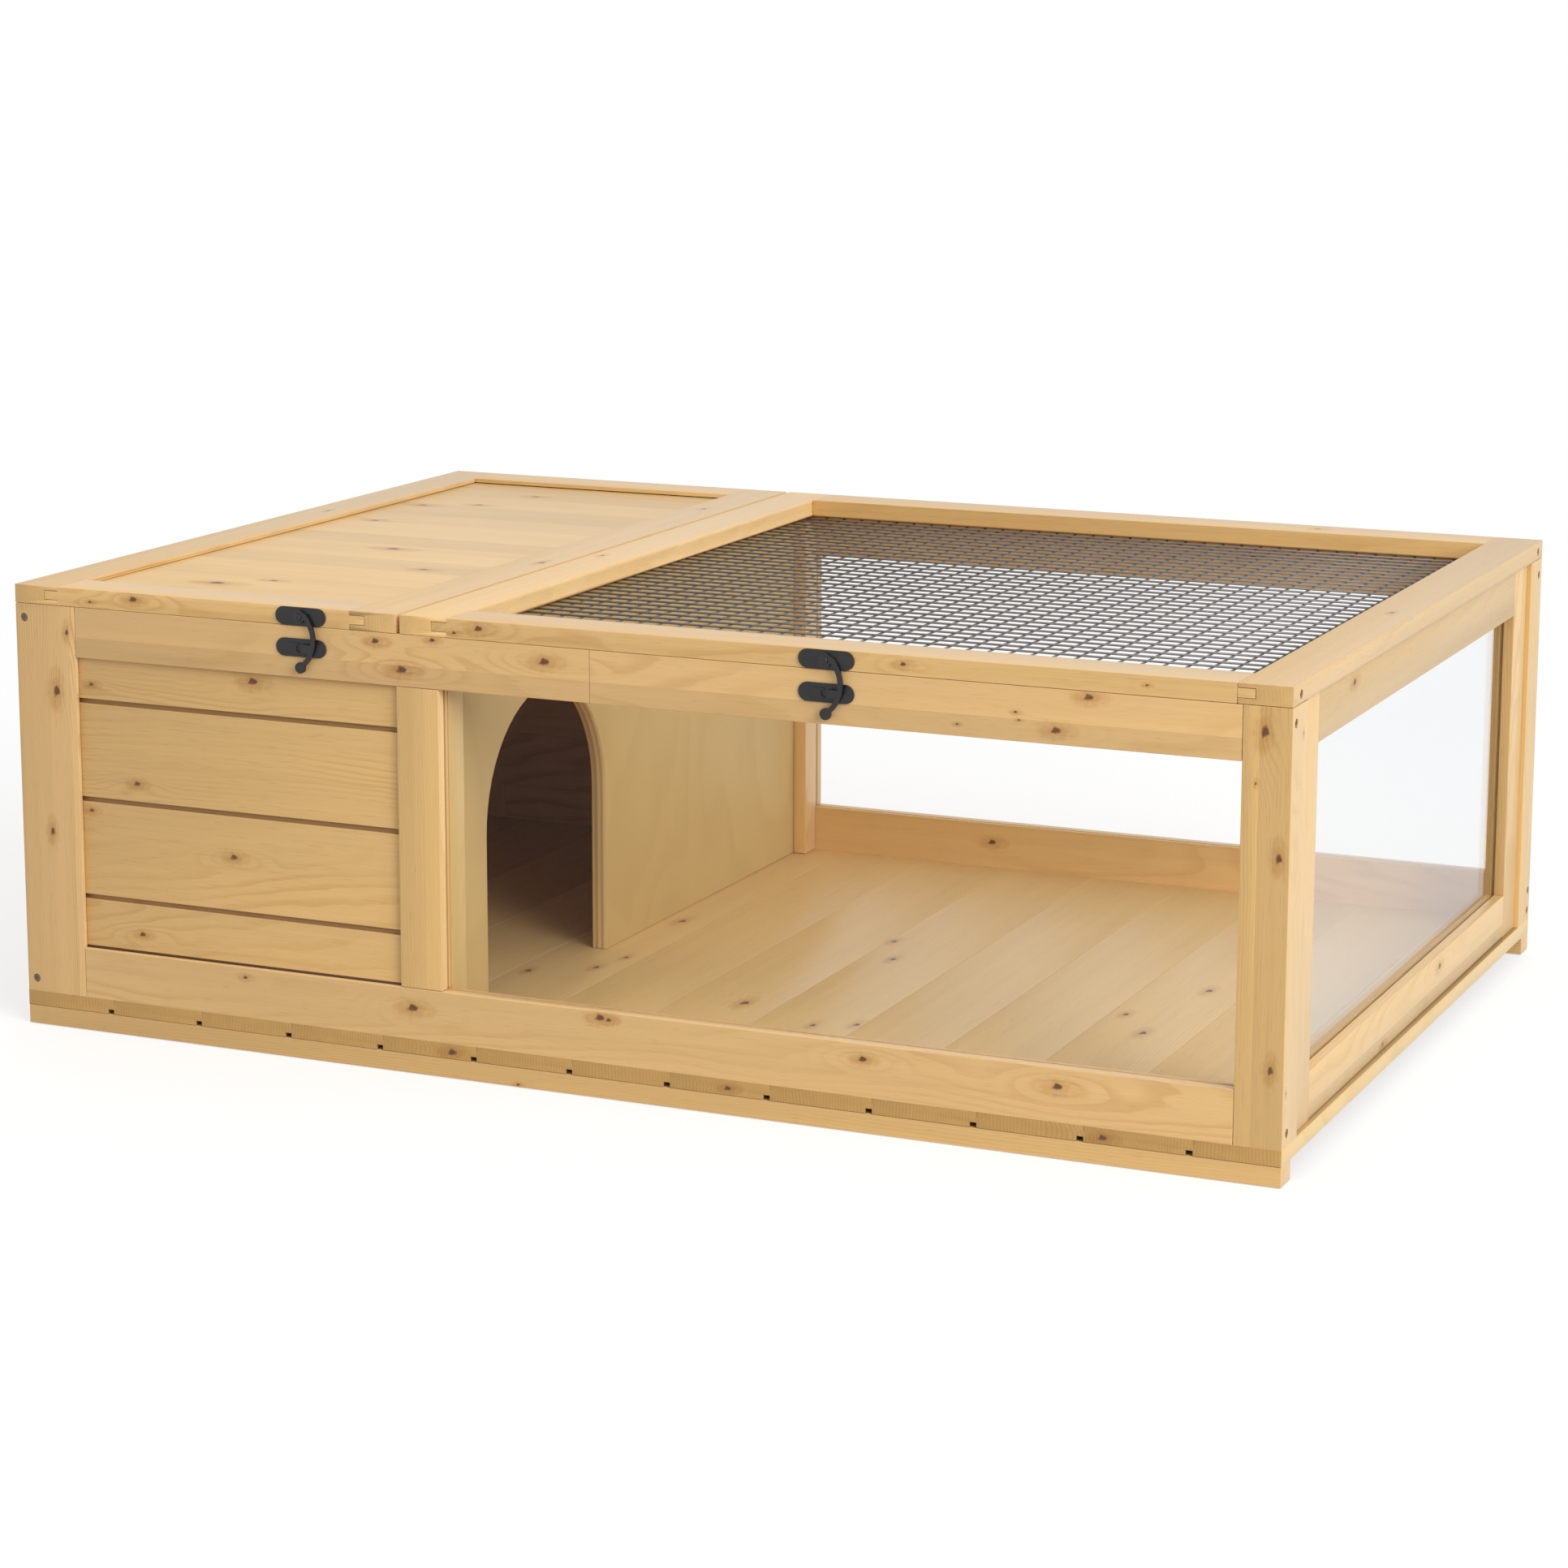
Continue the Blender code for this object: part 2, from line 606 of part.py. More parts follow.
def make_lid_mesh(left, right):
    """The right lid's square mesh, against the underside of its frame."""
    wires_x = wire_places(left + RAIL_WIDTH, right - RAIL_WIDTH)
    wires_y = wire_places(RAIL_WIDTH, DEPTH - RAIL_WIDTH)
    half = WIRE_WIDTH / 2
    edges_x = (wires_x[0] - half, wires_x[-1] + half)
    edges_y = (wires_y[0] - half, wires_y[-1] + half)
    outlines = [rectangle(*edges_x, *edges_y)]
    for start_x, end_x in zip(wires_x, wires_x[1:]):
        for start_y, end_y in zip(wires_y, wires_y[1:]):
            outlines.append(rectangle(start_x + half, end_x - half, start_y + half, end_y - half))
    top = LID_BOTTOM - GAP
    return extrusion("right_lid_mesh", GREY_WIRE, outlines, "Z", (top - WIRE_WIDTH, top))


# Hinges


def knuckle(name, start, end):
    return rod(name, None, KNUCKLE_RADIUS, (start, HINGE_Y, HINGE_Z), (end, HINGE_Y, HINGE_Z), ROUND_STEPS)


def make_hinge(name, centre):
    """A butt hinge: the wall leaf carries the outer knuckles and the pin, the lid leaf turns on it."""
    ends = (centre - HINGE_LENGTH / 2, centre + HINGE_LENGTH / 2)
    middle = (centre - KNUCKLE_LENGTH / 2, centre + KNUCKLE_LENGTH / 2)
    outer = ((ends[0], middle[0] - GAP), (middle[1] + GAP, ends[1]))
    notch = KNUCKLE_RADIUS + GAP
    leaf_y = (DEPTH + GAP, DEPTH + GAP + HINGE_LEAF_THICKNESS)
    notch_y = (leaf_y[0] - OVERRUN, leaf_y[1] + OVERRUN)

    wall_leaf = box(name + "_wall_leaf", BLACK_METAL, ends, leaf_y, (HINGE_Z - HINGE_LEAF_HEIGHT, HINGE_Z))
    notch_z = (HINGE_Z - notch, HINGE_Z + OVERRUN)
    cut(box(name + "_middle_notch", None, (outer[0][1], outer[1][0]), notch_y, notch_z), wall_leaf)
    boolean(wall_leaf, knuckle(name + "_left_knuckle", *outer[0]), "UNION")
    boolean(wall_leaf, knuckle(name + "_right_knuckle", *outer[1]), "UNION")
    pin_ends = ((middle[0] - OVERRUN, HINGE_Y, HINGE_Z), (middle[1] + OVERRUN, HINGE_Y, HINGE_Z))
    boolean(wall_leaf, rod(name + "_pin", None, HINGE_PIN_RADIUS, *pin_ends, SMALL_ROUND_STEPS), "UNION")

    lid_leaf = box(name + "_lid_leaf", BLACK_METAL, ends, leaf_y, (HINGE_Z, HINGE_Z + HINGE_LEAF_HEIGHT))
    notch_z = (HINGE_Z - OVERRUN, HINGE_Z + notch)
    cut(box(name + "_left_notch", None, (ends[0] - OVERRUN, middle[0]), notch_y, notch_z), lid_leaf)
    cut(box(name + "_right_notch", None, (middle[1], ends[1] + OVERRUN), notch_y, notch_z), lid_leaf)
    boolean(lid_leaf, knuckle(name + "_middle_knuckle", *middle), "UNION")
    cut(rod(name + "_bore", None, HINGE_PIN_RADIUS + GAP, *pin_ends, SMALL_ROUND_STEPS), lid_leaf)
    return lid_leaf


# Latches


def smooth_line(points, steps):
    """Points along a smooth curve that passes through the given ones."""
    line = []
    padded = [points[0]] + list(points) + [points[-1]]
    for index in range(1, len(padded) - 2):
        before, start, end, after = (Vector(point) for point in padded[index - 1:index + 3])
        for step in range(steps):
            t = step / steps
            slope_in = (end - before) / 2
            slope_out = (after - start) / 2
            line.append(
                start * (2 * t**3 - 3 * t**2 + 1) + slope_in * (t**3 - 2 * t**2 + t)
                + end * (3 * t**2 - 2 * t**3) + slope_out * (t**3 - t**2)
            )
    line.append(Vector(points[-1]))
    return line


def hook_outline(pivot_x, pivot_z):
    """Outline of a swing hook: a hub, a bowed arm with a lug on its inner side, and a round end."""
    end = (pivot_x + HOOK_END_OFFSET, pivot_z - HOOK_DROP)
    arm = [(pivot_x + across * HOOK_REACH, pivot_z + down * HOOK_DROP) for across, down in HOOK_ARM_SHARES]
    centre_line = smooth_line(arm + [end], ARM_STEPS)
    inner = []
    outer = []
    for before, after in zip(centre_line, centre_line[1:]):
        along = (after - before).normalized()
        side = Vector((-along.y, along.x)) * HOOK_WIDTH / 2
        middle = (before + after) / 2
        if (middle - Vector(end)).length > HOOK_END_RADIUS:
            outer.append(tuple(middle + side))
            inner.append(tuple(middle - side))
    inner = [point for point in inner if math.dist(point, (pivot_x, pivot_z)) > HOOK_HUB_RADIUS]
    lug_top = KEEPER_LEVEL + HOOK_LUG_HEIGHT / 2
    lug_bottom = KEEPER_LEVEL - HOOK_LUG_HEIGHT / 2
    lug_x = pivot_x + HOOK_LUG_START
    upper = [point for point in inner if point[1] > lug_top]
    lower = [point for point in inner if point[1] < lug_bottom]
    root_x = (upper[-1][0], lower[0][0])
    lug = [(root_x[0], lug_top), (lug_x, lug_top), (lug_x, lug_bottom), (root_x[1], lug_bottom)]

    to_arm = (centre_line[-2] - Vector(end)).normalized()
    bearing = math.atan2(to_arm.y, to_arm.x)
    half_neck = math.asin(HOOK_WIDTH / 2 / HOOK_END_RADIUS)
    turn = 2 * math.pi
    end_disc = arc(end, HOOK_END_RADIUS, bearing + half_neck, bearing - half_neck + turn, ROUND_STEPS)
    hub = arc((pivot_x, pivot_z), HOOK_HUB_RADIUS, HOOK_HUB_SHOULDER, HOOK_HUB_THROAT, ROUND_STEPS)
    return hub + upper + lug + lower + end_disc + outer[::-1]


def make_rivet(name, pivot_x):
    """A turned rivet: a boss on the plate, a shank through the hook and a domed head."""
    boss_base = GAP + LATCH_PLATE_THICKNESS / 2
    boss_top = GAP + LATCH_PLATE_THICKNESS + RIVET_BOSS_HEIGHT
    profile = []
    for step in range(DOME_STEPS + 1):
        angle = QUARTER_TURN * step / DOME_STEPS
        height = RIVET_HEAD_BASE + RIVET_HEAD_HEIGHT * math.cos(angle)
        profile.append((RIVET_HEAD_RADIUS * math.sin(angle), height))
    profile += [(RIVET_SHANK_RADIUS, RIVET_HEAD_BASE), (RIVET_SHANK_RADIUS, boss_top)]
    profile += [(RIVET_BOSS_RADIUS, boss_top), (RIVET_BOSS_RADIUS, boss_base), (0, boss_base)]
    mesh = bpy.data.meshes.new(name)
    edges = [(index, index + 1) for index in range(len(profile) - 1)]
    mesh.from_pydata([(radius, 0, height) for radius, height in profile], edges, [])
    rivet = add(name, mesh, None)
    turn = rivet.modifiers.new("Turn", "SCREW")
    turn.steps = SMALL_ROUND_STEPS
    turn.render_steps = SMALL_ROUND_STEPS
    turn.use_merge_vertices = True
    turn.merge_threshold = WELD
    turn.use_smooth_shade = True
    rivet.location = place(pivot_x, 0, LATCH_LEVEL)
    rivet.rotation_euler = (QUARTER_TURN, 0, 0)
    return rivet


def make_latch(side, pivot_x, lid_mark):
    """A plate and a swing hook on the lid, and a plate with a raised keeper on the wall."""
    plate_y = (-GAP, -GAP - LATCH_PLATE_THICKNESS)
    plate_outline = stadium((pivot_x, LATCH_LEVEL), LATCH_PLATE_LENGTH, LATCH_PLATE_HEIGHT)
    plate = as_mesh(extrusion(side + "_latch_plate", BLACK_METAL, [plate_outline], "Y", plate_y))
    boolean(plate, make_rivet(side + "_latch_rivet", pivot_x), "UNION")
    carry(lid_mark, plate)

    bore = arc((pivot_x, LATCH_LEVEL), RIVET_SHANK_RADIUS + GAP, 0, 2 * math.pi, SMALL_ROUND_STEPS)[:-1]
    outlines = [hook_outline(pivot_x, LATCH_LEVEL), bore]
    hook = extrusion(side + "_hook", BLACK_METAL, outlines, "Y", (-HOOK_FRONT, -HOOK_BACK))
    hook_mark = axis_mark(side + "_hook_pivot", place(pivot_x, -(HOOK_FRONT + HOOK_BACK) / 2, LATCH_LEVEL))
    carry(lid_mark, hook_mark)
    carry(hook_mark, hook)

    keeper_front = HOOK_BACK - GAP
    keeper_outline = stadium((pivot_x, KEEPER_LEVEL), LATCH_PLATE_LENGTH, LATCH_PLATE_HEIGHT)
    keeper = as_mesh(extrusion(side + "_keeper", BLACK_METAL, [keeper_outline], "Y", plate_y))
    hood_end = pivot_x - KEEPER_END_OFFSET
    radius = KEEPER_HEIGHT / 2
    hood_centre = (hood_end - KEEPER_LENGTH + radius, KEEPER_LEVEL)
    hood_outline = arc(hood_centre, radius, QUARTER_TURN, 3 * QUARTER_TURN, ROUND_STEPS // 2)
    hood_outline += [(hood_end, KEEPER_LEVEL - radius), (hood_end, KEEPER_LEVEL + radius)]
    hood_y = (-GAP - LATCH_PLATE_THICKNESS / 2, -keeper_front)
    hood = as_mesh(extrusion(side + "_keeper_hood", None, [hood_outline], "Y", hood_y))
    boolean(keeper, hood, "UNION")
    mouth_x = (hood_end - KEEPER_MOUTH_LENGTH, hood_end + OVERRUN)
    mouth_y = (-GAP - LATCH_PLATE_THICKNESS, -keeper_front - OVERRUN)
    mouth_z = (KEEPER_LEVEL - KEEPER_MOUTH_HEIGHT / 2, KEEPER_LEVEL + KEEPER_MOUTH_HEIGHT / 2)
    cut(box(side + "_keeper_mouth", None, mouth_x, mouth_y, mouth_z), keeper)


def make_lids():
    left = (0, MULLION_LEFT)
    right = (MULLION_LEFT + LID_SPACE, WIDTH)
    lids = {}
    for side, (start, end), inset in (("left", left, LEFT_LATCH_INSET), ("right", right, RIGHT_LATCH_INSET)):
        mark = axis_mark(side + "_lid_pivot", place((start + end) / 2, HINGE_Y, HINGE_Z))
        rails = make_lid_frame(side, start, end)
        carry(mark, *rails)
        for where, centre in (("left", start + HINGE_INSET), ("right", end - HINGE_INSET)):
            carry(mark, make_hinge(side + "_lid_" + where + "_hinge", centre))
        make_latch(side, end - inset, mark)
        lids[side] = (mark, rails)
    carry(lids["left"][0], make_lid_panel(lids["left"][1], *left))
    carry(lids["right"][0], make_lid_mesh(*right))


make_skids()
make_floor()
make_long_wall("front", lambda depth: depth, make_boards)
make_long_wall("back", lambda depth: DEPTH - depth, make_board_panel)
make_left_wall()
make_right_wall()
make_partition()
make_lids()
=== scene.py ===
"""Looks of a planed pine tortoise house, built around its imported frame.

Places are layout places, in metres: X from the outer left face, Y from the outer front face towards the back,
Z up from the ground. place() turns one into the model's frame.
"""

import json
import math

import bmesh
import bpy
from mathutils import Matrix, Vector


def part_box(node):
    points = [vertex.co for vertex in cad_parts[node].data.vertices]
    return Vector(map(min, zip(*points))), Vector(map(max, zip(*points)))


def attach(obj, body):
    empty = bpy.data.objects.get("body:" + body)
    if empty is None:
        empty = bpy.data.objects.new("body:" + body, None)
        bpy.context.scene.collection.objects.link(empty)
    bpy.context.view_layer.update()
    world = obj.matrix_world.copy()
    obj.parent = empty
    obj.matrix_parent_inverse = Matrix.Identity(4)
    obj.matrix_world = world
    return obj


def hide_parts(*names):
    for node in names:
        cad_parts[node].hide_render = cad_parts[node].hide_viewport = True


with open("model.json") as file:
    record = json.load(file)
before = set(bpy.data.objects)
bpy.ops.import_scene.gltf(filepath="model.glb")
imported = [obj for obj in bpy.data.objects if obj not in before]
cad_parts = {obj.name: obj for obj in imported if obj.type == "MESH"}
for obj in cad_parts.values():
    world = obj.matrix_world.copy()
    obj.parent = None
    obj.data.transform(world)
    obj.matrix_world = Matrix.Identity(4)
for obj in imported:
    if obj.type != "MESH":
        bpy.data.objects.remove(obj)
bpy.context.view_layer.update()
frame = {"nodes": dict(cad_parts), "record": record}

NODES = frame["nodes"]
BODIES = frame["record"]["behaviour"]["bodies"]
BODY_OF_NODE = {node: body for body, nodes in BODIES.items() for node in nodes}

# The layout's origin seen from the model's frame
ORIGIN = Vector((0.490, 0.34185, 0))

# Sizes of the object that the looks follow
WIDTH = 0.980
DEPTH = 0.6833
LID_BOTTOM = 0.3217
LEFT_LID_RIGHT = 0.3215
RIGHT_LID_LEFT = 0.3248
RAIL_WIDTH = 0.0375
WALL_BOTTOM = 0.0259
PANEL_BOTTOM = WALL_BOTTOM + RAIL_WIDTH
FLOOR_TOP = 0.0256
FLOOR_BOTTOM = 0.0141
SKID_TOP = 0.0138
LEG_LEFT = 0.958
SIDE_RECESS = 0.0035
PARTITION_LEFT = 0.33225


def place(x, y, z):
    return Vector((x, y, z)) - ORIGIN


# Node helpers


class Graph:
    """Short calls for building a material's nodes."""

    def __init__(self, tree):
        self.tree = tree

    def node(self, kind, **settings):
        item = self.tree.nodes.new(kind)
        for key, value in settings.items():
            setattr(item, key, value)
        return item

    def link(self, source, target):
        if isinstance(source, bpy.types.NodeSocket):
            self.tree.links.new(source, target)
        else:
            target.default_value = source

    def math(self, operation, *values):
        item = self.node("ShaderNodeMath", operation=operation)
        for value, socket in zip(values, item.inputs):
            self.link(value, socket)
        return item.outputs[0]

    def length(self, vector):
        item = self.node("ShaderNodeVectorMath", operation="LENGTH")
        self.link(vector, item.inputs[0])
        return item.outputs["Value"]

    def split(self, vector):
        item = self.node("ShaderNodeSeparateXYZ")
        self.link(vector, item.inputs[0])
        return item.outputs

    def join(self, x, y, z):
        item = self.node("ShaderNodeCombineXYZ")
        for value, socket in zip((x, y, z), item.inputs):
            self.link(value, socket)
        return item.outputs[0]

    def stretch(self, parts, scales):
        """Three coordinates, each with a scale of its own, as a vector."""
        return self.join(*(self.math("MULTIPLY", part, scale) for part, scale in zip(parts, scales)))

    def centred(self, value, size):
        """A value around a half carried to around zero, with a given size."""
        return self.math("MULTIPLY", self.math("SUBTRACT", value, 0.5), size)

    def noise(self, vector, scale, detail=2.0, roughness=0.5):
        item = self.node("ShaderNodeTexNoise")
        self.link(vector, item.inputs["Vector"])
        self.link(scale, item.inputs["Scale"])
        item.inputs["Detail"].default_value = detail
        item.inputs["Roughness"].default_value = roughness
        return item.outputs["Fac"]

    def step(self, value, low, high, out_low=0.0, out_high=1.0, smooth=True):
        """A value carried from one range to another, held at both ends."""
        item = self.node("ShaderNodeMapRange", interpolation_type="SMOOTHSTEP" if smooth else "LINEAR")
        for source, name in (
            (value, "Value"), (low, "From Min"), (high, "From Max"),
            (out_low, "To Min"), (out_high, "To Max"),
        ):
            self.link(source, item.inputs[name])
        return item.outputs["Result"]

    def mix(self, factor, first, second, blend="MIX"):
        item = self.node("ShaderNodeMix", data_type="RGBA", blend_type=blend)
        for value, index in ((factor, 0), (first, 6), (second, 7)):
            self.link(value, item.inputs[index])
        return item.outputs[2]

    def shaded(self, colour, shade):
        return self.mix(1.0, colour, self.join(shade, shade, shade), "MULTIPLY")

    def stained(self, factor, colour, stain):
        """A colour multiplied by a stain, where a factor says so."""
        return self.mix(factor, colour, self.mix(1.0, colour, stain, "MULTIPLY"))

    def bump(self, shader, height, strength, distance):
        item = self.node("ShaderNodeBump")
        item.inputs["Strength"].default_value = strength
        item.inputs["Distance"].default_value = distance
        self.link(height, item.inputs["Height"])
        self.link(item.outputs["Normal"], shader.inputs["Normal"])


def new_material(name):
    material = bpy.data.materials.new(name)
    material.use_nodes = True
    graph = Graph(material.node_tree)
    return material, graph, material.node_tree.nodes["Principled BSDF"]


# Timber

PALE_WOOD = (0.730, 0.462, 0.180, 1)
LATE_WOOD = (0.57, 0.315, 0.098, 1)
KNOT_WOOD = (0.290, 0.150, 0.058, 1)
KNOT_HEART = (0.135, 0.058, 0.020, 1)
KNOT_HALO = (0.80, 0.70, 0.55, 1)
END_WOOD = (0.84, 0.76, 0.66, 1)
# Painted light: faces turned to the sides are made paler and bluer, in place of the lamp from the right
PAINTED_SIDE_LIGHT = (1.04, 1.13, 1.36, 1)
# Painted light and sheen: faces turned up are made paler
PAINTED_TOP_LIGHT = (1.04, 1.09, 1.26, 1)
# Painted shade in the recessed joints between boards
JOINT_SHADE = (0.52, 0.44, 0.36, 1)
# Dark joint lines, a darker floor edge, and painted shade in gaps, recesses and corners
MARK_AND_SHADE_BROWN = (0.10, 0.050, 0.020, 1)
WHITE = (1, 1, 1, 1)
RING_PITCH = 0.0024
GRAIN_AXES = {"X": (0, 1, 2), "Y": (1, 0, 2), "Z": (2, 0, 1)}

# Noise over the figure: scales along and across the grain, per metre, and how much it does
WANDER, WANDER_SIZE = (1.9, 9), 0.036
RIPPLE, RIPPLE_SIZE = (14, 60), 0.0026
FIBRE, FIBRE_SHADE = (10, 900), 0.12
STREAK, STREAK_SHADE = (2.0, 110), 0.15
CLOUD, CLOUD_SHADE = (3.0, 13), 0.16
PORES, PORE_SHADE = (60, 1300), 0.09
HEART, HEART_SIZE = (260, 260), 1.4
FAINTNESS = (3.0, 22)
TRUNK_LEAN = 0.02

# A normal's share along an axis, from which a face counts as facing that way
FACING_FROM = 0.72
FACING_FULLY = 0.85

# Depths under a boarded wall's outer face between which the recessed joints between boards get painted shade,
# and how soft their limits are
JOINT_DEPTH = 0.0052
JOINT_SOFTNESS = 0.0008
JOINT_END = 0.012
JOINT_END_SOFTNESS = 0.0005

# What a band adds to the place in the figure, so that each band has a figure of its own
BAND_SHIFT = 37.0
LAST_BAND = 0.05


def timber_group():
    """Figure of planed pine. Its vector runs along the grain in X, in metres."""
    tree = bpy.data.node_groups.new("Timber", "ShaderNodeTree")
    for name, kind in (
        ("Grain", "NodeSocketVector"), ("Pith", "NodeSocketVector"), ("Bend", "NodeSocketFloat"),
        ("Core", "NodeSocketFloat"), ("Halo", "NodeSocketFloat"), ("Tone", "NodeSocketFloat"),
        ("Figure", "NodeSocketFloat"), ("Lines", "NodeSocketFloat"), ("End", "NodeSocketFloat"),
        ("Tint", "NodeSocketColor"),
    ):
        tree.interface.new_socket(name, in_out="INPUT", socket_type=kind)
    for name, kind in (
        ("Color", "NodeSocketColor"), ("Height", "NodeSocketFloat"), ("Roughness", "NodeSocketFloat"),
    ):
        tree.interface.new_socket(name, in_out="OUTPUT", socket_type=kind)
    g = Graph(tree)
    source = g.node("NodeGroupInput").outputs
    x, y, z = g.split(source["Grain"])
    pith = g.split(source["Pith"])

    def noise(scales, detail=2.0, roughness=0.5):
        along, across = scales
        return g.noise(g.stretch((x, y, z), (along, across, across)), 1.0, detail, roughness)

    # Growth rings around the pith
    wander = g.centred(noise(WANDER), WANDER_SIZE)
    ripple = g.centred(noise(RIPPLE), RIPPLE_SIZE)
    lean = g.math("MULTIPLY", x, TRUNK_LEAN)
    off_y = g.math("SUBTRACT", g.math("ADD", y, lean), pith[1])
    off_z = g.math("SUBTRACT", z, pith[2])
    distance = g.length(g.join(0.0, off_y, off_z))
    wiggle = g.math("MULTIPLY", g.math("ADD", wander, ripple), source["Figure"])
    field = g.math("ADD", g.math("ADD", distance, wiggle), source["Bend"])
    turn = g.math("FRACT", g.math("DIVIDE", field, RING_PITCH))
    rise = g.step(turn, 0.40, 0.86)
    fall = g.step(turn, 0.90, 1.0, 1.0, 0.0)
    strength = g.step(noise(FAINTNESS), 0.36, 0.70, 0.04, 0.50)
    strength = g.math("ADD", strength, g.math("MULTIPLY", source["Halo"], 0.3))
    strength = g.math("MULTIPLY", strength, source["Lines"])
    strength = g.math("ADD", strength, g.math("MULTIPLY", source["End"], 0.30))
    late = g.math("MULTIPLY", g.math("MULTIPLY", rise, fall), strength)

    # Shades that run along the grain
    fibre = noise(FIBRE, 3.0, 0.6)
    shade = g.math("ADD", g.centred(fibre, FIBRE_SHADE), g.centred(noise(STREAK), STREAK_SHADE))
    shade = g.math("ADD", g.math("ADD", shade, g.centred(noise(CLOUD, 1.0), CLOUD_SHADE)), source["Tone"])
    shade = g.math("SUBTRACT", shade, g.step(noise(PORES, 0.0), 0.66, 0.76, 0.0, PORE_SHADE))

    colour = g.shaded(g.mix(late, PALE_WOOD, LATE_WOOD), shade)
    colour = g.mix(1.0, colour, source["Tint"], "MULTIPLY")
    colour = g.stained(source["End"], colour, END_WOOD)
    colour = g.stained(source["Halo"], colour, KNOT_HALO)
    patch = g.math("ADD", source["Core"], g.centred(noise(HEART), HEART_SIZE))
    heart = g.mix(g.step(patch, 0.25, 0.95), KNOT_WOOD, KNOT_HEART)
    colour = g.mix(g.step(source["Core"], 0.02, 0.50), colour, heart)

    result = g.node("NodeGroupOutput").inputs
    g.link(colour, result["Color"])
    height = g.math("SUBTRACT", fibre, g.math("MULTIPLY", late, 0.9))
    g.link(g.math("SUBTRACT", height, source["Core"]), result["Height"])
    g.link(g.math("ADD", g.math("MULTIPLY", fibre, 0.12), 0.34), result["Roughness"])
    return tree


TIMBER = timber_group()


def knot_masks(g, coordinates, normal, knots):
    """Sums of the knots' cores, halos and pulls on the growth rings. All lengths follow a knot's radius."""
    total = [0.0, 0.0, 0.0]
    for face, along, across, centre_along, centre_across, radius in knots:
        run = g.math("SUBTRACT", coordinates[along], centre_along)
        rise = g.math("SUBTRACT", coordinates[across], centre_across)
        spot = g.join(g.math("MULTIPLY", run, 0.8), rise, 0.0)
        rough = g.centred(g.noise(spot, 0.8 / radius), radius * 1.7)
        core = g.step(g.math("ADD", g.length(spot), rough), radius * 0.15, radius * 1.0, 1.0, 0.0)
        long_off = g.length(g.join(g.math("MULTIPLY", run, 0.42), rise, 0.0))
        soft = g.centred(g.noise(spot, 0.7 / radius), radius * 2.0)
        halo = g.step(g.math("ADD", long_off, soft), radius * 0.5, radius * 2.4, 0.85, 0.0)
        far_off = g.length(g.join(g.math("MULTIPLY", run, 0.26), rise, 0.0))
        pull = g.step(far_off, 0.0, radius * 4.2, radius * 1.9, 0.0)
        turned = g.step(g.math("ABSOLUTE", normal[face]), 0.5, 0.7)
        values = (g.math("MULTIPLY", core, turned), g.math("MULTIPLY", halo, turned), pull)
        total = [g.math("ADD", before, value) for before, value in zip(total, values)]
    return total


def band_steps(g, coordinate, bands):
    """A value that steps to each band's own where the band starts. Bands are (start, value), in order."""
    low = bands[0][0]
    high = bands[-1][0] + LAST_BAND
    ramp = g.node("ShaderNodeValToRGB")
    ramp.color_ramp.interpolation = "CONSTANT"
    stops = ramp.color_ramp.elements
    while len(stops) < len(bands):
        stops.new(0.5)
    for stop, (start, value) in zip(stops, bands):
        stop.position = (start - low) / (high - low)
        stop.color = (value, value, value, 1)
    g.link(g.step(coordinate, low, high, smooth=False), ramp.inputs["Fac"])
    return ramp.outputs["Color"]


def mark_and_shade_mask(g, coordinates, low, high, strength):
    """A strength inside a box of layout places, and zero outside it."""
    inside_box = strength
    for index in range(3):
        middle = (low[index] + high[index]) / 2 - ORIGIN[index]
        half = (high[index] - low[index]) / 2
        off = g.math("ABSOLUTE", g.math("SUBTRACT", coordinates[index], middle))
        inside_box = g.math("MULTIPLY", inside_box, g.math("LESS_THAN", off, half))
    return inside_box


def joint_shade_mask(g, coordinates, joints):
    """One on the recessed joints between boards, where painted shade goes. Joints are (axis, place) of the
    wall's outer face.
    """
    index = "XYZ".index(joints[0])
    depth = g.math("ABSOLUTE", g.math("SUBTRACT", coordinates[index], joints[1] - ORIGIN[index]))
    start = g.step(depth, JOINT_DEPTH, JOINT_DEPTH + JOINT_SOFTNESS)
    end = g.step(depth, JOINT_END, JOINT_END + JOINT_END_SOFTNESS, 1.0, 0.0)
    return g.math("MULTIPLY", start, end)


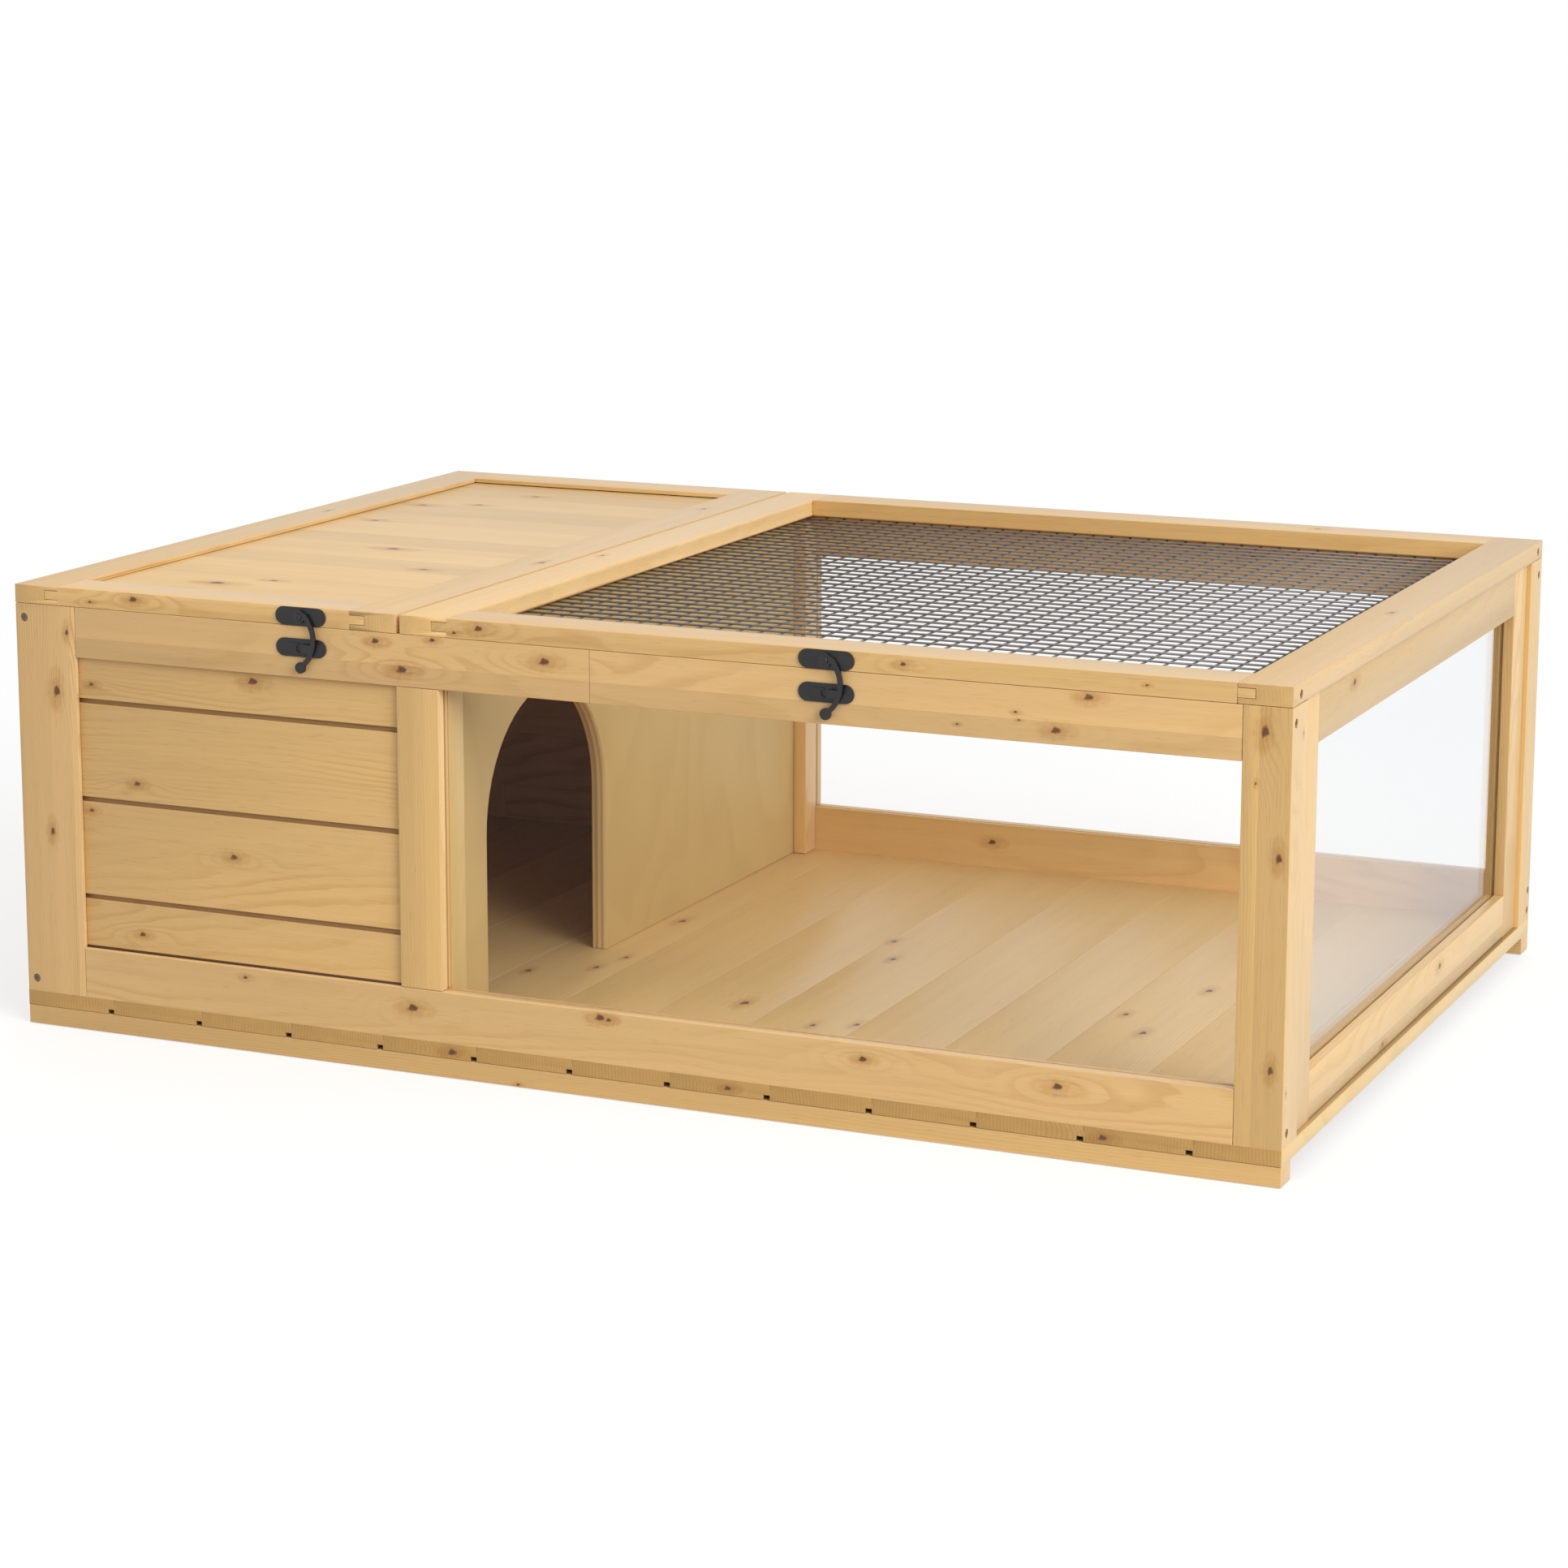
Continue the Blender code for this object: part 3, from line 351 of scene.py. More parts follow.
def timber(name, centre, grain, seed, tone, figure=1.0, pith=(0.03, 0.05), knots=(), bands=(), marks_and_shade=(),
           tint=WHITE, end_grain=0.35, joints=None, lines=1.0):
    """Planed pine.

    Knots are (face axis, place, radius), bands (axis, steps), and box marks (low corner, high corner,
    strength): dark joint lines, a darker floor edge, and painted shade in gaps, recesses and corners. Joints
    name the wall face under which the recessed joints between boards get painted shade.
    """
    material, g, shader = new_material(name)
    origin = g.node("ShaderNodeTexCoord")
    coordinates = g.split(origin.outputs["Object"])
    middle = place(*centre)
    tones = tone
    shift = seed
    for axis, steps in bands:
        index = "XYZ".index(axis)
        value = band_steps(g, coordinates[index], [(start - ORIGIN[index], value) for start, value in steps])
        tones = g.math("MULTIPLY", tones, value)
        shift = g.math("ADD", shift, g.math("MULTIPLY", value, BAND_SHIFT))
    axes = GRAIN_AXES[grain]
    offsets = [g.math("SUBTRACT", coordinates[index], middle[index]) for index in axes]
    vector = g.join(g.math("ADD", offsets[0], shift), offsets[1], offsets[2])

    rows = []
    for face, spot, radius in knots:
        where = place(*spot)
        front = "XYZ".index(face)
        along, across = [index for index in axes if index != front][:2]
        rows.append((front, along, across, where[along], where[across], radius))
    normal = g.split(origin.outputs["Normal"])
    core, halo, pull = knot_masks(g, coordinates, normal, rows)

    end = g.step(g.math("ABSOLUTE", normal[axes[0]]), FACING_FROM, FACING_FULLY, 0.0, end_grain)
    figured = g.node("ShaderNodeGroup")
    figured.node_tree = TIMBER
    for label, value in (
        ("Grain", vector), ("Pith", (0, pith[0], pith[1])), ("Bend", pull), ("Core", core), ("Halo", halo),
        ("Tone", tones), ("Figure", figure), ("Lines", lines), ("End", end), ("Tint", tint),
    ):
        g.link(value, figured.inputs[label])
    colour = figured.outputs["Color"]
    clear = g.math("SUBTRACT", 1.0, core)
    # Painted light: faces turned to the sides are made paler, as lamp light on them would make them
    painted_side_mask = g.math("MULTIPLY", g.step(g.math("ABSOLUTE", normal[0]), FACING_FROM, FACING_FULLY), clear)
    colour = g.stained(painted_side_mask, colour, PAINTED_SIDE_LIGHT)
    # Painted light and sheen: faces turned up are made paler, as the lamp and the sheen on the tops would
    # make them
    painted_top_mask = g.math("MULTIPLY", g.step(normal[2], FACING_FROM, FACING_FULLY), clear)
    colour = g.stained(painted_top_mask, colour, PAINTED_TOP_LIGHT)
    # Painted shade on the recessed joints between boards
    if joints:
        colour = g.stained(joint_shade_mask(g, coordinates, joints), colour, JOINT_SHADE)
    # Box marks: dark joint lines, a darker floor edge, and painted shade in gaps, recesses and corners
    for low, high, strength in marks_and_shade:
        colour = g.mix(mark_and_shade_mask(g, coordinates, low, high, strength), colour, MARK_AND_SHADE_BROWN)
    g.link(colour, shader.inputs["Base Color"])
    g.link(figured.outputs["Roughness"], shader.inputs["Roughness"])
    shader.inputs["Specular IOR Level"].default_value = 0.3
    shader.inputs["Coat Weight"].default_value = 0.16
    shader.inputs["Coat Roughness"].default_value = 0.28
    g.bump(shader, figured.outputs["Height"], 0.18, 0.0004)
    return material


# Plywood, metal and clear sheets

VENEER = (0.640, 0.464, 0.195, 1)
VENEER_FIGURE = (0.57, 0.405, 0.160, 1)
PALE_PLY = (0.78, 0.55, 0.25, 1)
DARK_PLY = (0.58, 0.38, 0.165, 1)
PLIES_PER_METRE = 208.0
PEEL_SCALE = 2600.0
TARNISH_SCALE = 90.0
SHEET_TINT = (0.80, 0.82, 0.84, 1)
SHEET_EDGE_TINT = (0.86, 0.88, 0.90, 1)


def plywood(name):
    """Rotary-cut face veneer, and the edges of its plies."""
    material, g, shader = new_material(name)
    origin = g.node("ShaderNodeTexCoord")
    x, y, z = g.split(origin.outputs["Object"])
    swirl = g.noise(g.stretch((x, y, z), (3.0, 5.0, 2.2)), 1.0)
    bands = g.math("FRACT", g.math("MULTIPLY", g.math("ADD", g.math("MULTIPLY", swirl, 2.6), y), 4.5))
    figure = g.math("MULTIPLY", g.step(bands, 0.2, 0.9), g.step(bands, 0.9, 1.0, 1.0, 0.0))
    fibre = g.noise(g.stretch((x, y, z), (300.0, 700.0, 12.0)), 1.0, 3.0)
    face = g.mix(g.math("MULTIPLY", figure, 0.35), VENEER, VENEER_FIGURE)
    face = g.shaded(face, g.math("ADD", g.centred(fibre, 0.12), 1.0))
    ply = g.math("SUBTRACT", x, PARTITION_LEFT - ORIGIN.x)
    ply = g.math("FRACT", g.math("MULTIPLY", ply, PLIES_PER_METRE))
    edge = g.mix(g.step(ply, 0.45, 0.55), PALE_PLY, DARK_PLY)
    normal = g.split(origin.outputs["Normal"])
    side = g.step(g.math("ABSOLUTE", normal[0]), 0.5, 0.7)
    g.link(g.mix(side, edge, face), shader.inputs["Base Color"])
    shader.inputs["Roughness"].default_value = 0.55
    shader.inputs["Specular IOR Level"].default_value = 0.3
    g.bump(shader, fibre, 0.15, 0.0003)
    return material


def coated_metal(name, colour, roughness, metallic):
    """Painted or plated metal with a fine orange-peel surface."""
    material, g, shader = new_material(name)
    origin = g.node("ShaderNodeTexCoord")
    peel = g.noise(origin.outputs["Object"], PEEL_SCALE)
    tarnish = g.noise(origin.outputs["Object"], TARNISH_SCALE)
    shade = g.step(tarnish, 0.25, 0.75, 0.85, 1.18, smooth=False)
    g.link(g.shaded(colour, shade), shader.inputs["Base Color"])
    gloss = g.step(peel, 0.2, 0.8, roughness - 0.06, roughness + 0.08, smooth=False)
    g.link(gloss, shader.inputs["Roughness"])
    shader.inputs["Metallic"].default_value = metallic
    g.bump(shader, peel, 0.12, 0.0002)
    return material


def clear_sheet(name, straight):
    """A clear sheet that mirrors a share straight on and more at a slant, and lets the rest through."""
    material, g, shader = new_material(name)
    shader.inputs["Base Color"].default_value = SHEET_TINT
    shader.inputs["Metallic"].default_value = 1.0
    haze = g.noise(g.node("ShaderNodeTexCoord").outputs["Object"], 14.0)
    g.link(g.step(haze, 0.2, 0.8, 0.03, 0.07, smooth=False), shader.inputs["Roughness"])
    slant = g.math("POWER", g.node("ShaderNodeLayerWeight").outputs["Facing"], 5.0)
    mirrored = g.math("ADD", g.math("MULTIPLY", slant, 1.0 - straight), straight)
    g.link(mirrored, shader.inputs["Alpha"])
    return material


def clear_edge(name):
    """The narrow edges of a sheet, in their grooves."""
    material, g, shader = new_material(name)
    haze = g.noise(g.node("ShaderNodeTexCoord").outputs["Object"], 30.0)
    g.link(g.step(haze, 0.2, 0.8, 0.3, 0.5, smooth=False), shader.inputs["Roughness"])
    shader.inputs["Base Color"].default_value = SHEET_EDGE_TINT
    shader.inputs["Alpha"].default_value = 0.03
    return material


# Pieces made from the frame's solids

MERGE = 0.000002
FLAT_ANGLE = math.radians(0.6)
ARRIS_ANGLE = math.radians(32)

# Widths of the eased arrises
ROUND = 0.0011
TIMBER_ARRIS = 0.00045
SEAMED_ARRIS = 0.00012
PLATE_ARRIS = 0.0003
HINGE_ARRIS = 0.0001


def inside(point, box):
    """Whether a point in the model's frame is in a box of layout places."""
    spot = point + ORIGIN
    return all(low <= value <= high for value, low, high in zip(spot, *box))


def lies_in(edge, box):
    return inside(edge.verts[0].co, box) and inside(edge.verts[1].co, box)


def mesh_from(shape, name):
    """Turn a shape into a mesh, and let go of the shape."""
    mesh = bpy.data.meshes.new(name)
    shape.to_mesh(mesh)
    shape.free()
    return mesh


def whole_mesh(node, arris, plain=(), pulls=(), rounds=()):
    """A copy of a node's mesh with its points joined, its flat faces whole and its arrises marked.

    An edge inside a plain box stays sharp, and one inside a rounds box gets the full round. Pulls are
    (box, axis, value): points in the box go to that value.
    """
    shape = bmesh.new()
    shape.from_mesh(NODES[node].data)
    bmesh.ops.remove_doubles(shape, verts=shape.verts, dist=MERGE)
    bmesh.ops.dissolve_limit(shape, angle_limit=FLAT_ANGLE, verts=shape.verts, edges=shape.edges)
    weight = shape.edges.layers.float.new("bevel_weight_edge")
    for edge in shape.edges:
        sharp = len(edge.link_faces) == 2 and edge.calc_face_angle() > ARRIS_ANGLE
        kept = any(lies_in(edge, box) for box in plain)
        full = any(lies_in(edge, box) for box in rounds)
        edge[weight] = 0.0 if kept or not sharp else 1.0 if full else arris / ROUND
        edge.smooth = not (sharp and kept)
    for box, axis, value in pulls:
        for vertex in shape.verts:
            if inside(vertex.co, box):
                vertex.co[axis] = value - ORIGIN[axis]
    for face in shape.faces:
        face.smooth = True
    return mesh_from(shape, node)


def link(item):
    bpy.context.scene.collection.objects.link(item)
    return item


def cut(piece, cutter):
    recess = piece.modifiers.new("Recess", "BOOLEAN")
    recess.operation = "DIFFERENCE"
    recess.object = cutter
    recess.solver = "EXACT"


def settle(piece):
    """Replace a piece's modifiers by the mesh that they make."""
    made = bpy.data.meshes.new_from_object(piece.evaluated_get(bpy.context.evaluated_depsgraph_get()))
    piece.modifiers.clear()
    piece.data = made
    return piece


def dress(node, material, arris, segments=2, cutters=(), plain=(), pulls=(), rounds=()):
    """Stand a copy with eased arrises, and recesses where screws sit, in for a node."""
    piece = link(bpy.data.objects.new(node + "_piece", whole_mesh(node, arris, plain, pulls, rounds)))
    piece.data.materials.append(material)
    ease = piece.modifiers.new("Arris", "BEVEL")
    ease.width = ROUND
    ease.segments = segments
    ease.limit_method = "WEIGHT"
    ease.harden_normals = True
    for cutter in cutters:
        cut(piece, cutter)
    settle(piece)
    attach(piece, BODY_OF_NODE[node])
    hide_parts(node)
    return piece


def glaze(node, sheet, edge):
    """Give a pane's two broad faces one material, and its edges another."""
    mesh = NODES[node].data
    mesh.materials.clear()
    mesh.materials.append(sheet)
    mesh.materials.append(edge)
    thin = 0 if node == "right_pane" else 1
    for face in mesh.polygons:
        face.material_index = 0 if abs(face.normal[thin]) > 0.9 else 1


# Screws

SCREW_RADIUS = 0.0028
SCREW_DEPTH = 0.0012
SCREW_SUNK = 0.0004
SCREW_SIDES = 20
# The head's outline: share of the radius, and height
SCREW_RINGS = ((1.0, -0.0008), (1.0, -0.00025), (0.86, -0.00008), (0.55, 0.00006), (0.2, 0.0001))
SEAT_MARGIN = 0.0004
SEAT_SIDES = 24
CUT_PAST = 0.002
CROSS_WIDTH = 0.0007
CROSS_LENGTH = 0.0032
CROSS_TOP = 0.0006
CROSS_CUT = 0.0011


def prism(name, outline, depth):
    """An outline in X and Y drawn down along Z from zero, as a mesh object."""
    shape = bmesh.new()
    face = shape.faces.new([shape.verts.new((x, y, 0)) for x, y in outline])
    made = bmesh.ops.extrude_face_region(shape, geom=[face])
    lower = [item for item in made["geom"] if isinstance(item, bmesh.types.BMVert)]
    bmesh.ops.translate(shape, verts=lower, vec=(0, 0, -depth))
    bmesh.ops.recalc_face_normals(shape, faces=shape.faces)
    return bpy.data.objects.new(name, mesh_from(shape, name))


def circle(radius, sides):
    angles = [2 * math.pi * i / sides for i in range(sides)]
    return [(radius * math.cos(angle), radius * math.sin(angle)) for angle in angles]


def facing(spot, outward):
    """The transform that stands a piece's +Z along a direction, at a spot in the model's frame."""
    turn = Vector(outward).to_track_quat("Z", "Y").to_matrix().to_4x4()
    return Matrix.Translation(spot) @ turn


def hidden(item):
    """Link a cutter out of sight. It is removed once its cuts are settled."""
    link(item)
    item.hide_render = True
    bpy.context.view_layer.update()
    return item


def screw_seat(spot, outward):
    """The cutter of a countersink for one screw."""
    outline = circle(SCREW_RADIUS + SEAT_MARGIN, SEAT_SIDES)
    seat = hidden(prism("seat", outline, SCREW_DEPTH + CUT_PAST))
    seat.matrix_world = facing(place(*spot) + Vector(outward) * CUT_PAST, outward)
    bpy.context.view_layer.update()
    return seat


def screw(name, body, spot, outward, material):
    """A domed screw head with a cross recess."""
    shape = bmesh.new()
    rings = []
    for share, rise in SCREW_RINGS:
        outline = circle(SCREW_RADIUS, SCREW_SIDES)
        rings.append([shape.verts.new((x * share, y * share, rise)) for x, y in outline])
    for lower, upper in zip(rings, rings[1:]):
        for i in range(len(lower)):
            j = (i + 1) % len(lower)
            shape.faces.new((lower[i], lower[j], upper[j], upper[i]))
    shape.faces.new(rings[-1])
    shape.faces.new(rings[0][::-1])
    head = link(bpy.data.objects.new(name, mesh_from(shape, name)))
    half = CROSS_WIDTH / 2
    reach = CROSS_LENGTH / 2
    cross = [(-half, -reach), (half, -reach), (half, -half), (reach, -half), (reach, half), (half, half),
             (half, reach), (-half, reach), (-half, half), (-reach, half), (-reach, -half), (-half, -half)]
    cutter = hidden(prism("cross", cross, CROSS_CUT))
    cutter.location.z = CROSS_TOP
    cut(head, cutter)
    head.data.materials.append(material)
    settle(head)
    bpy.data.objects.remove(cutter, do_unlink=True)
    head.matrix_world = facing(place(*spot) - Vector(outward) * SCREW_SUNK, outward)
    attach(head, body)
    return head


# Right lid's welded mesh

WIRE_RADIUS = 0.00082
WIRE_STEP = 0.016
WIRE_SIDES = 8
WIRE_OVERHANG = 0.0012
WIRE_GAP = 0.0003
# How far apart crossing wires lie, in radii: welded, they sink into each other a little
WIRE_CROSSING = 1.8
WIRES_X = [0.3564 + WIRE_STEP * k for k in range(38)]
WIRES_Y = [0.0296 + WIRE_STEP * k for k in range(40)]
UPPER_WIRES = LID_BOTTOM - WIRE_GAP - WIRE_RADIUS
LOWER_WIRES = UPPER_WIRES - WIRE_CROSSING * WIRE_RADIUS


def wire_rod(shape, start, end):
    """One straight wire with closed ends, added to a shape."""
    axis = end - start
    made = bmesh.ops.create_cone(
        shape, cap_ends=True, segments=WIRE_SIDES, radius1=WIRE_RADIUS, radius2=WIRE_RADIUS,
        depth=axis.length,
        matrix=Matrix.Translation((start + end) / 2) @ axis.to_track_quat("Z", "Y").to_matrix().to_4x4(),
    )
    for vertex in made["verts"]:
        for face in vertex.link_faces:
            face.smooth = len(face.verts) == 4


def welded_mesh(material):
    shape = bmesh.new()
    for y in WIRES_Y:
        start = place(WIRES_X[0] - WIRE_OVERHANG, y, UPPER_WIRES)
        wire_rod(shape, start, place(WIRES_X[-1] + WIRE_OVERHANG, y, UPPER_WIRES))
    for x in WIRES_X:
        start = place(x, WIRES_Y[0] - WIRE_OVERHANG, LOWER_WIRES)
        wire_rod(shape, start, place(x, WIRES_Y[-1] + WIRE_OVERHANG, LOWER_WIRES))
    mesh = mesh_from(shape, "welded_mesh")
    mesh.materials.append(material)
    piece = link(bpy.data.objects.new("welded_mesh", mesh))
    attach(piece, "right_lid")
    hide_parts("right_lid_mesh")


# How every timber piece looks. An entry that names another piece shares its material. The rows of knots,
# bands, box marks and joints are explained at timber(). The joints and the box marks noted below paint shade,
# and one noted band paints light.

UPRIGHT = {"grain": "Z"}
ACROSS = {"grain": "X"}
BACKWARD = {"grain": "Y"}
FRONT_FACE = ("Y", 0)
BACK_FACE = ("Y", DEPTH)
LEFT_FACE = ("X", 0)

TIMBERS = {
    "front_skid": dict(ACROSS, tone=1.0, pith=(0.02, 0.06), seed=2.1, end_grain=0.05,
                       knots=(("Y", (0.4156, 0, 0.0016), 0.0014),)),
    "rear_skid": dict(ACROSS, tone=0.99, pith=(0.03, 0.05), seed=3.3, end_grain=0.05),
    "floor": dict(
        BACKWARD, tone=1.11, pith=(0.70, 0.0), seed=4.7, figure=0.7, end_grain=1.0, lines=0.5,
        tint=(0.965, 1.0, 0.95, 1),
        # Box marks in order: painted shade in the gaps between planks and under the floor, a painted shade
        # line where the front edge sits on the skid, the darker front end grain, and painted shadow on the
        # ledge under the recessed right side frame
        marks_and_shade=(
            ((0.002, 0.0007, FLOOR_BOTTOM - 0.001), (WIDTH - 0.002, DEPTH - 0.0007, FLOOR_TOP - 0.0006), 0.9),
            ((-0.001, -0.001, FLOOR_BOTTOM - 0.001), (WIDTH - 0.0003, 0.0006, FLOOR_BOTTOM + 0.0005), 0.55),
            ((-0.001, -0.001, FLOOR_BOTTOM - 0.001), (WIDTH - 0.0003, 0.0003, FLOOR_TOP - 0.0002), 0.17),
            ((WIDTH - SIDE_RECESS - 0.001, 0.0344, FLOOR_TOP - 0.0003),
             (WIDTH - 0.0006, 0.6488, FLOOR_TOP + 0.001), 0.45),
        ),
        knots=(
            ("Z", (0.3175, 0.2033, 0), 0.0034), ("Z", (0.3608, 0.2334, 0), 0.0034),
            ("Z", (0.3689, 0.2693, 0), 0.0030), ("Z", (0.5077, 0.1868, 0), 0.0048),
            ("Z", (0.3593, 0.3911, 0), 0.0044), ("Z", (0.5397, 0.4012, 0), 0.0034),
            ("Z", (0.5600, 0.3500, 0), 0.0036), ("Z", (0.6071, 0.1659, 0), 0.0034),
            ("Z", (0.5783, 0.1518, 0), 0.0032), ("Z", (0.7772, 0.2738, 0), 0.0032),
            ("Z", (0.8049, 0.2313, 0), 0.0040), ("Z", (0.8131, 0.3621, 0), 0.0040),
            ("Y", (0.3625, 0, 0.0189), 0.0036), ("Y", (0.5800, 0, 0.0190), 0.0026),
            ("Y", (0.8560, 0, 0.0185), 0.0032),
        ),
    ),
    "front_corner_stile": dict(
        UPRIGHT, tone=0.96, pith=(0.015, 0.035), seed=1.3, figure=2.0, lines=1.7, tint=(0.99, 1.0, 1.10, 1),
        bands=(("X", ((0.0, 0.995), (0.0458, 1.07))),),
        knots=(
            ("Y", (0.0335, 0, 0.2573), 0.0042), ("Y", (0.0441, 0, 0.302), 0.0022),
            ("Y", (0.0260, 0, 0.150), 0.0030),
        ),
    ),
    "front_top_rail": dict(
        ACROSS, tone=1.08, pith=(0.05, -0.012), seed=6.2, figure=0.9, tint=(1.0, 1.0, 1.08, 1),
        bands=(("X", ((0.0, 0.98), (0.475, 0.96))), ("Z", ((0.280, 0.89), (0.2989, 1.03)))),
        marks_and_shade=(((0.47478, -0.01, 0.27), (0.47522, 0.01, 0.33), 0.7),),
        knots=(
            ("Y", (0.4397, 0, 0.310), 0.0040), ("Y", (0.3049, 0, 0.3148), 0.0030),
            ("Y", (0.3257, 0, 0.2955), 0.0042), ("Y", (0.3509, 0, 0.3189), 0.0022),
            ("Y", (0.8186, 0, 0.2931), 0.0036), ("Y", (0.8410, 0, 0.3172), 0.0034),
            ("Y", (0.7899, 0, 0.3035), 0.0013), ("Y", (0.7487, 0, 0.2919), 0.0011),
            ("Y", (0.7924, 0, 0.2983), 0.0010),
        ),
    ),
    "front_bottom_rail": dict(
        ACROSS, tone=1.06, pith=(0.06, 0.01), seed=8.4, figure=1.1, tint=(1.0, 1.01, 1.10, 1),
        knots=(
            ("Y", (0.3306, 0, 0.0483), 0.0042), ("Y", (0.8234, 0, 0.050), 0.0036),
            ("Y", (0.6819, 0, 0.0522), 0.0030), ("Y", (0.4810, 0, 0.0584), 0.0036),
            ("Y", (0.4880, 0, 0.0575), 0.0022), ("Y", (0.1907, 0, 0.0556), 0.0018),
        ),
    ),
    "front_mullion": dict(UPRIGHT, tone=1.01, pith=(0.05, 0.02), seed=2.8, lines=0.45,
                          bands=(("X", ((0.30, 0.99), (0.3430, 1.04))),)),
    "front_boards_1": dict(
        ACROSS, joints=FRONT_FACE, tone=0.93, pith=(0.05, 0.015), seed=5.5, figure=1.3,
        knots=(("Y", (0.2003, 0, 0.2765), 0.0040), ("Y", (0.0616, 0, 0.2637), 0.0022)),
    ),
    "front_boards_2": dict(ACROSS, joints=FRONT_FACE, tone=0.96, pith=(0.09, 0.05), seed=9.1, figure=0.8,
                           knots=(("Y", (0.0991, 0, 0.1918), 0.0028),)),
    "front_boards_3": dict(
        ACROSS, joints=FRONT_FACE, tone=0.985, pith=(0.07, 0.03), seed=13.7, figure=0.9,
        knots=(("Y", (0.1809, 0, 0.1440), 0.0032), ("Y", (0.0587, 0, 0.1682), 0.0022)),
    ),
    "front_boards_4": dict(
        ACROSS, joints=FRONT_FACE, tone=0.985, pith=(0.08, 0.02), seed=15.9, figure=1.0,
        # Painted shade in the gap between the lowest board and the bottom rail
        marks_and_shade=(((0.0, 0.003, PANEL_BOTTOM - 0.002), (0.33, 0.008, PANEL_BOTTOM + 0.0018), 1.0),),
        knots=(("Y", (0.1002, 0, 0.0775), 0.0026),),
    ),
    "back_corner_stile": dict(UPRIGHT, tone=0.98, seed=16.1, knots=(("Y", (0.030, 0, 0.190), 0.0034),)),
    "back_top_rail": dict(
        ACROSS, tone=1.0, seed=17.3, pith=(0.05, 0.02), bands=(("X", ((0.0, 1.01), (0.610, 0.97))),),
        marks_and_shade=(((0.6098, 0.67, 0.27), (0.6102, 0.69, 0.33), 0.7),),
        knots=(("Y", (0.240, 0, 0.302), 0.0034), ("Y", (0.745, 0, 0.309), 0.0028)),
    ),
    "back_bottom_rail": dict(ACROSS, tone=1.0, seed=18.9, pith=(0.06, 0.02),
                             knots=(("Y", (0.520, 0, 0.047), 0.0034),)),
    "back_mullion": dict(UPRIGHT, tone=1.0, seed=19.2),
    "back_end_stile": dict(UPRIGHT, tone=1.01, seed=20.6),
    "back_boards": dict(
        ACROSS, joints=BACK_FACE, tone=0.985, seed=21.4, pith=(0.09, 0.04),
        bands=(("Z", ((0.055, 0.99), (0.1043, 1.02), (0.1786, 0.98), (0.2529, 1.01))),),
        knots=(
            ("Y", (0.120, 0, 0.150), 0.0034), ("Y", (0.260, 0, 0.215), 0.0028),
            ("Y", (0.210, 0, 0.085), 0.0030),
        ),
    ),
    "left_front_stile": dict(UPRIGHT, tone=1.0, seed=22.5),
    "left_rear_stile": dict(UPRIGHT, tone=0.99, seed=23.1, knots=(("X", (0, 0.650, 0.225), 0.0030),)),
    "left_top_rail": dict(
        BACKWARD, tone=1.0, seed=24.9, pith=(0.05, 0.02), bands=(("Y", ((0.0, 1.01), (0.390, 0.975))),),
        marks_and_shade=(((-0.01, 0.3898, 0.27), (0.01, 0.3902, 0.33), 0.7),),
        knots=(("X", (0, 0.180, 0.304), 0.0034), ("X", (0, 0.530, 0.298), 0.0028)),
    ),
    "left_bottom_rail": dict(BACKWARD, tone=0.99, seed=25.3, knots=(("X", (0, 0.300, 0.045), 0.0034),)),
    "left_boards": dict(
        BACKWARD, joints=LEFT_FACE, tone=0.985, seed=26.8, pith=(0.09, 0.04),
        bands=(("Z", ((0.055, 1.01), (0.1043, 0.98), (0.1786, 1.01), (0.2529, 0.985))),),
        knots=(
            ("X", (0, 0.150, 0.215), 0.0034), ("X", (0, 0.420, 0.140), 0.0038),
            ("X", (0, 0.560, 0.080), 0.0026),
        ),
    ),
    "right_front_leg": dict(
        UPRIGHT, tone=1.0, pith=(0.02, 0.05), seed=27.2, figure=1.5, lines=0.8,
        bands=(("X", ((0.94, 1.02), (LEG_LEFT, 0.89), (0.9797, 1.0))),),
        knots=(
            ("Y", (0.9612, 0, 0.3048), 0.0042), ("Y", (0.9706, 0, 0.0790), 0.0030),
            ("Y", (0.9725, 0, 0.2215), 0.0034), ("Y", (0.9560, 0, 0.2700), 0.0010),
            ("X", (0, 0.0252, 0.3006), 0.0012), ("X", (0, 0.0065, 0.0630), 0.0011),
        ),
    ),
    "front_end_stile": "right_front_leg",
    "right_rear_leg": dict(UPRIGHT, tone=1.0, seed=28.4, pith=(0.02, 0.05)),
    "right_front_stile": dict(UPRIGHT, tone=1.02, seed=29.6, pith=(0.06, 0.04)),
    "right_rear_stile": dict(UPRIGHT, tone=1.0, seed=30.1, pith=(0.06, 0.04),
                             # Painted shade on the stile's front-facing side in the window recess
                             marks_and_shade=(((0.961, 0.6105, 0.02), (0.9758, 0.6115, 0.33), 0.28),)),
    "right_top_rail": dict(BACKWARD, tone=0.85, seed=31.5, pith=(0.05, 0.05), figure=0.8, lines=0.5,
                           knots=(("X", (0, 0.1560, 0.3110), 0.0034),)),
    "right_bottom_rail": dict(
        BACKWARD, tone=1.02, seed=32.7, pith=(0.05, 0.05), lines=0.6,
        bands=(("Z", ((0.02, 0.84), (0.0370, 1.0))), ("Y", ((0.0, 1.0), (0.43, 1.02)))),
        # Painted shade line along the rail's foot, over the ledge
        marks_and_shade=(((0.97, 0.0, 0.02), (0.99, 0.69, WALL_BOTTOM + 0.0014), 0.6),),
        knots=(("X", (0, 0.4137, 0.0500), 0.0034), ("X", (0, 0.2575, 0.0300), 0.0026)),
    ),
    "partition_front_batten": dict(UPRIGHT, tone=1.05, seed=33.9, tint=(0.95, 1.0, 0.92, 1)),
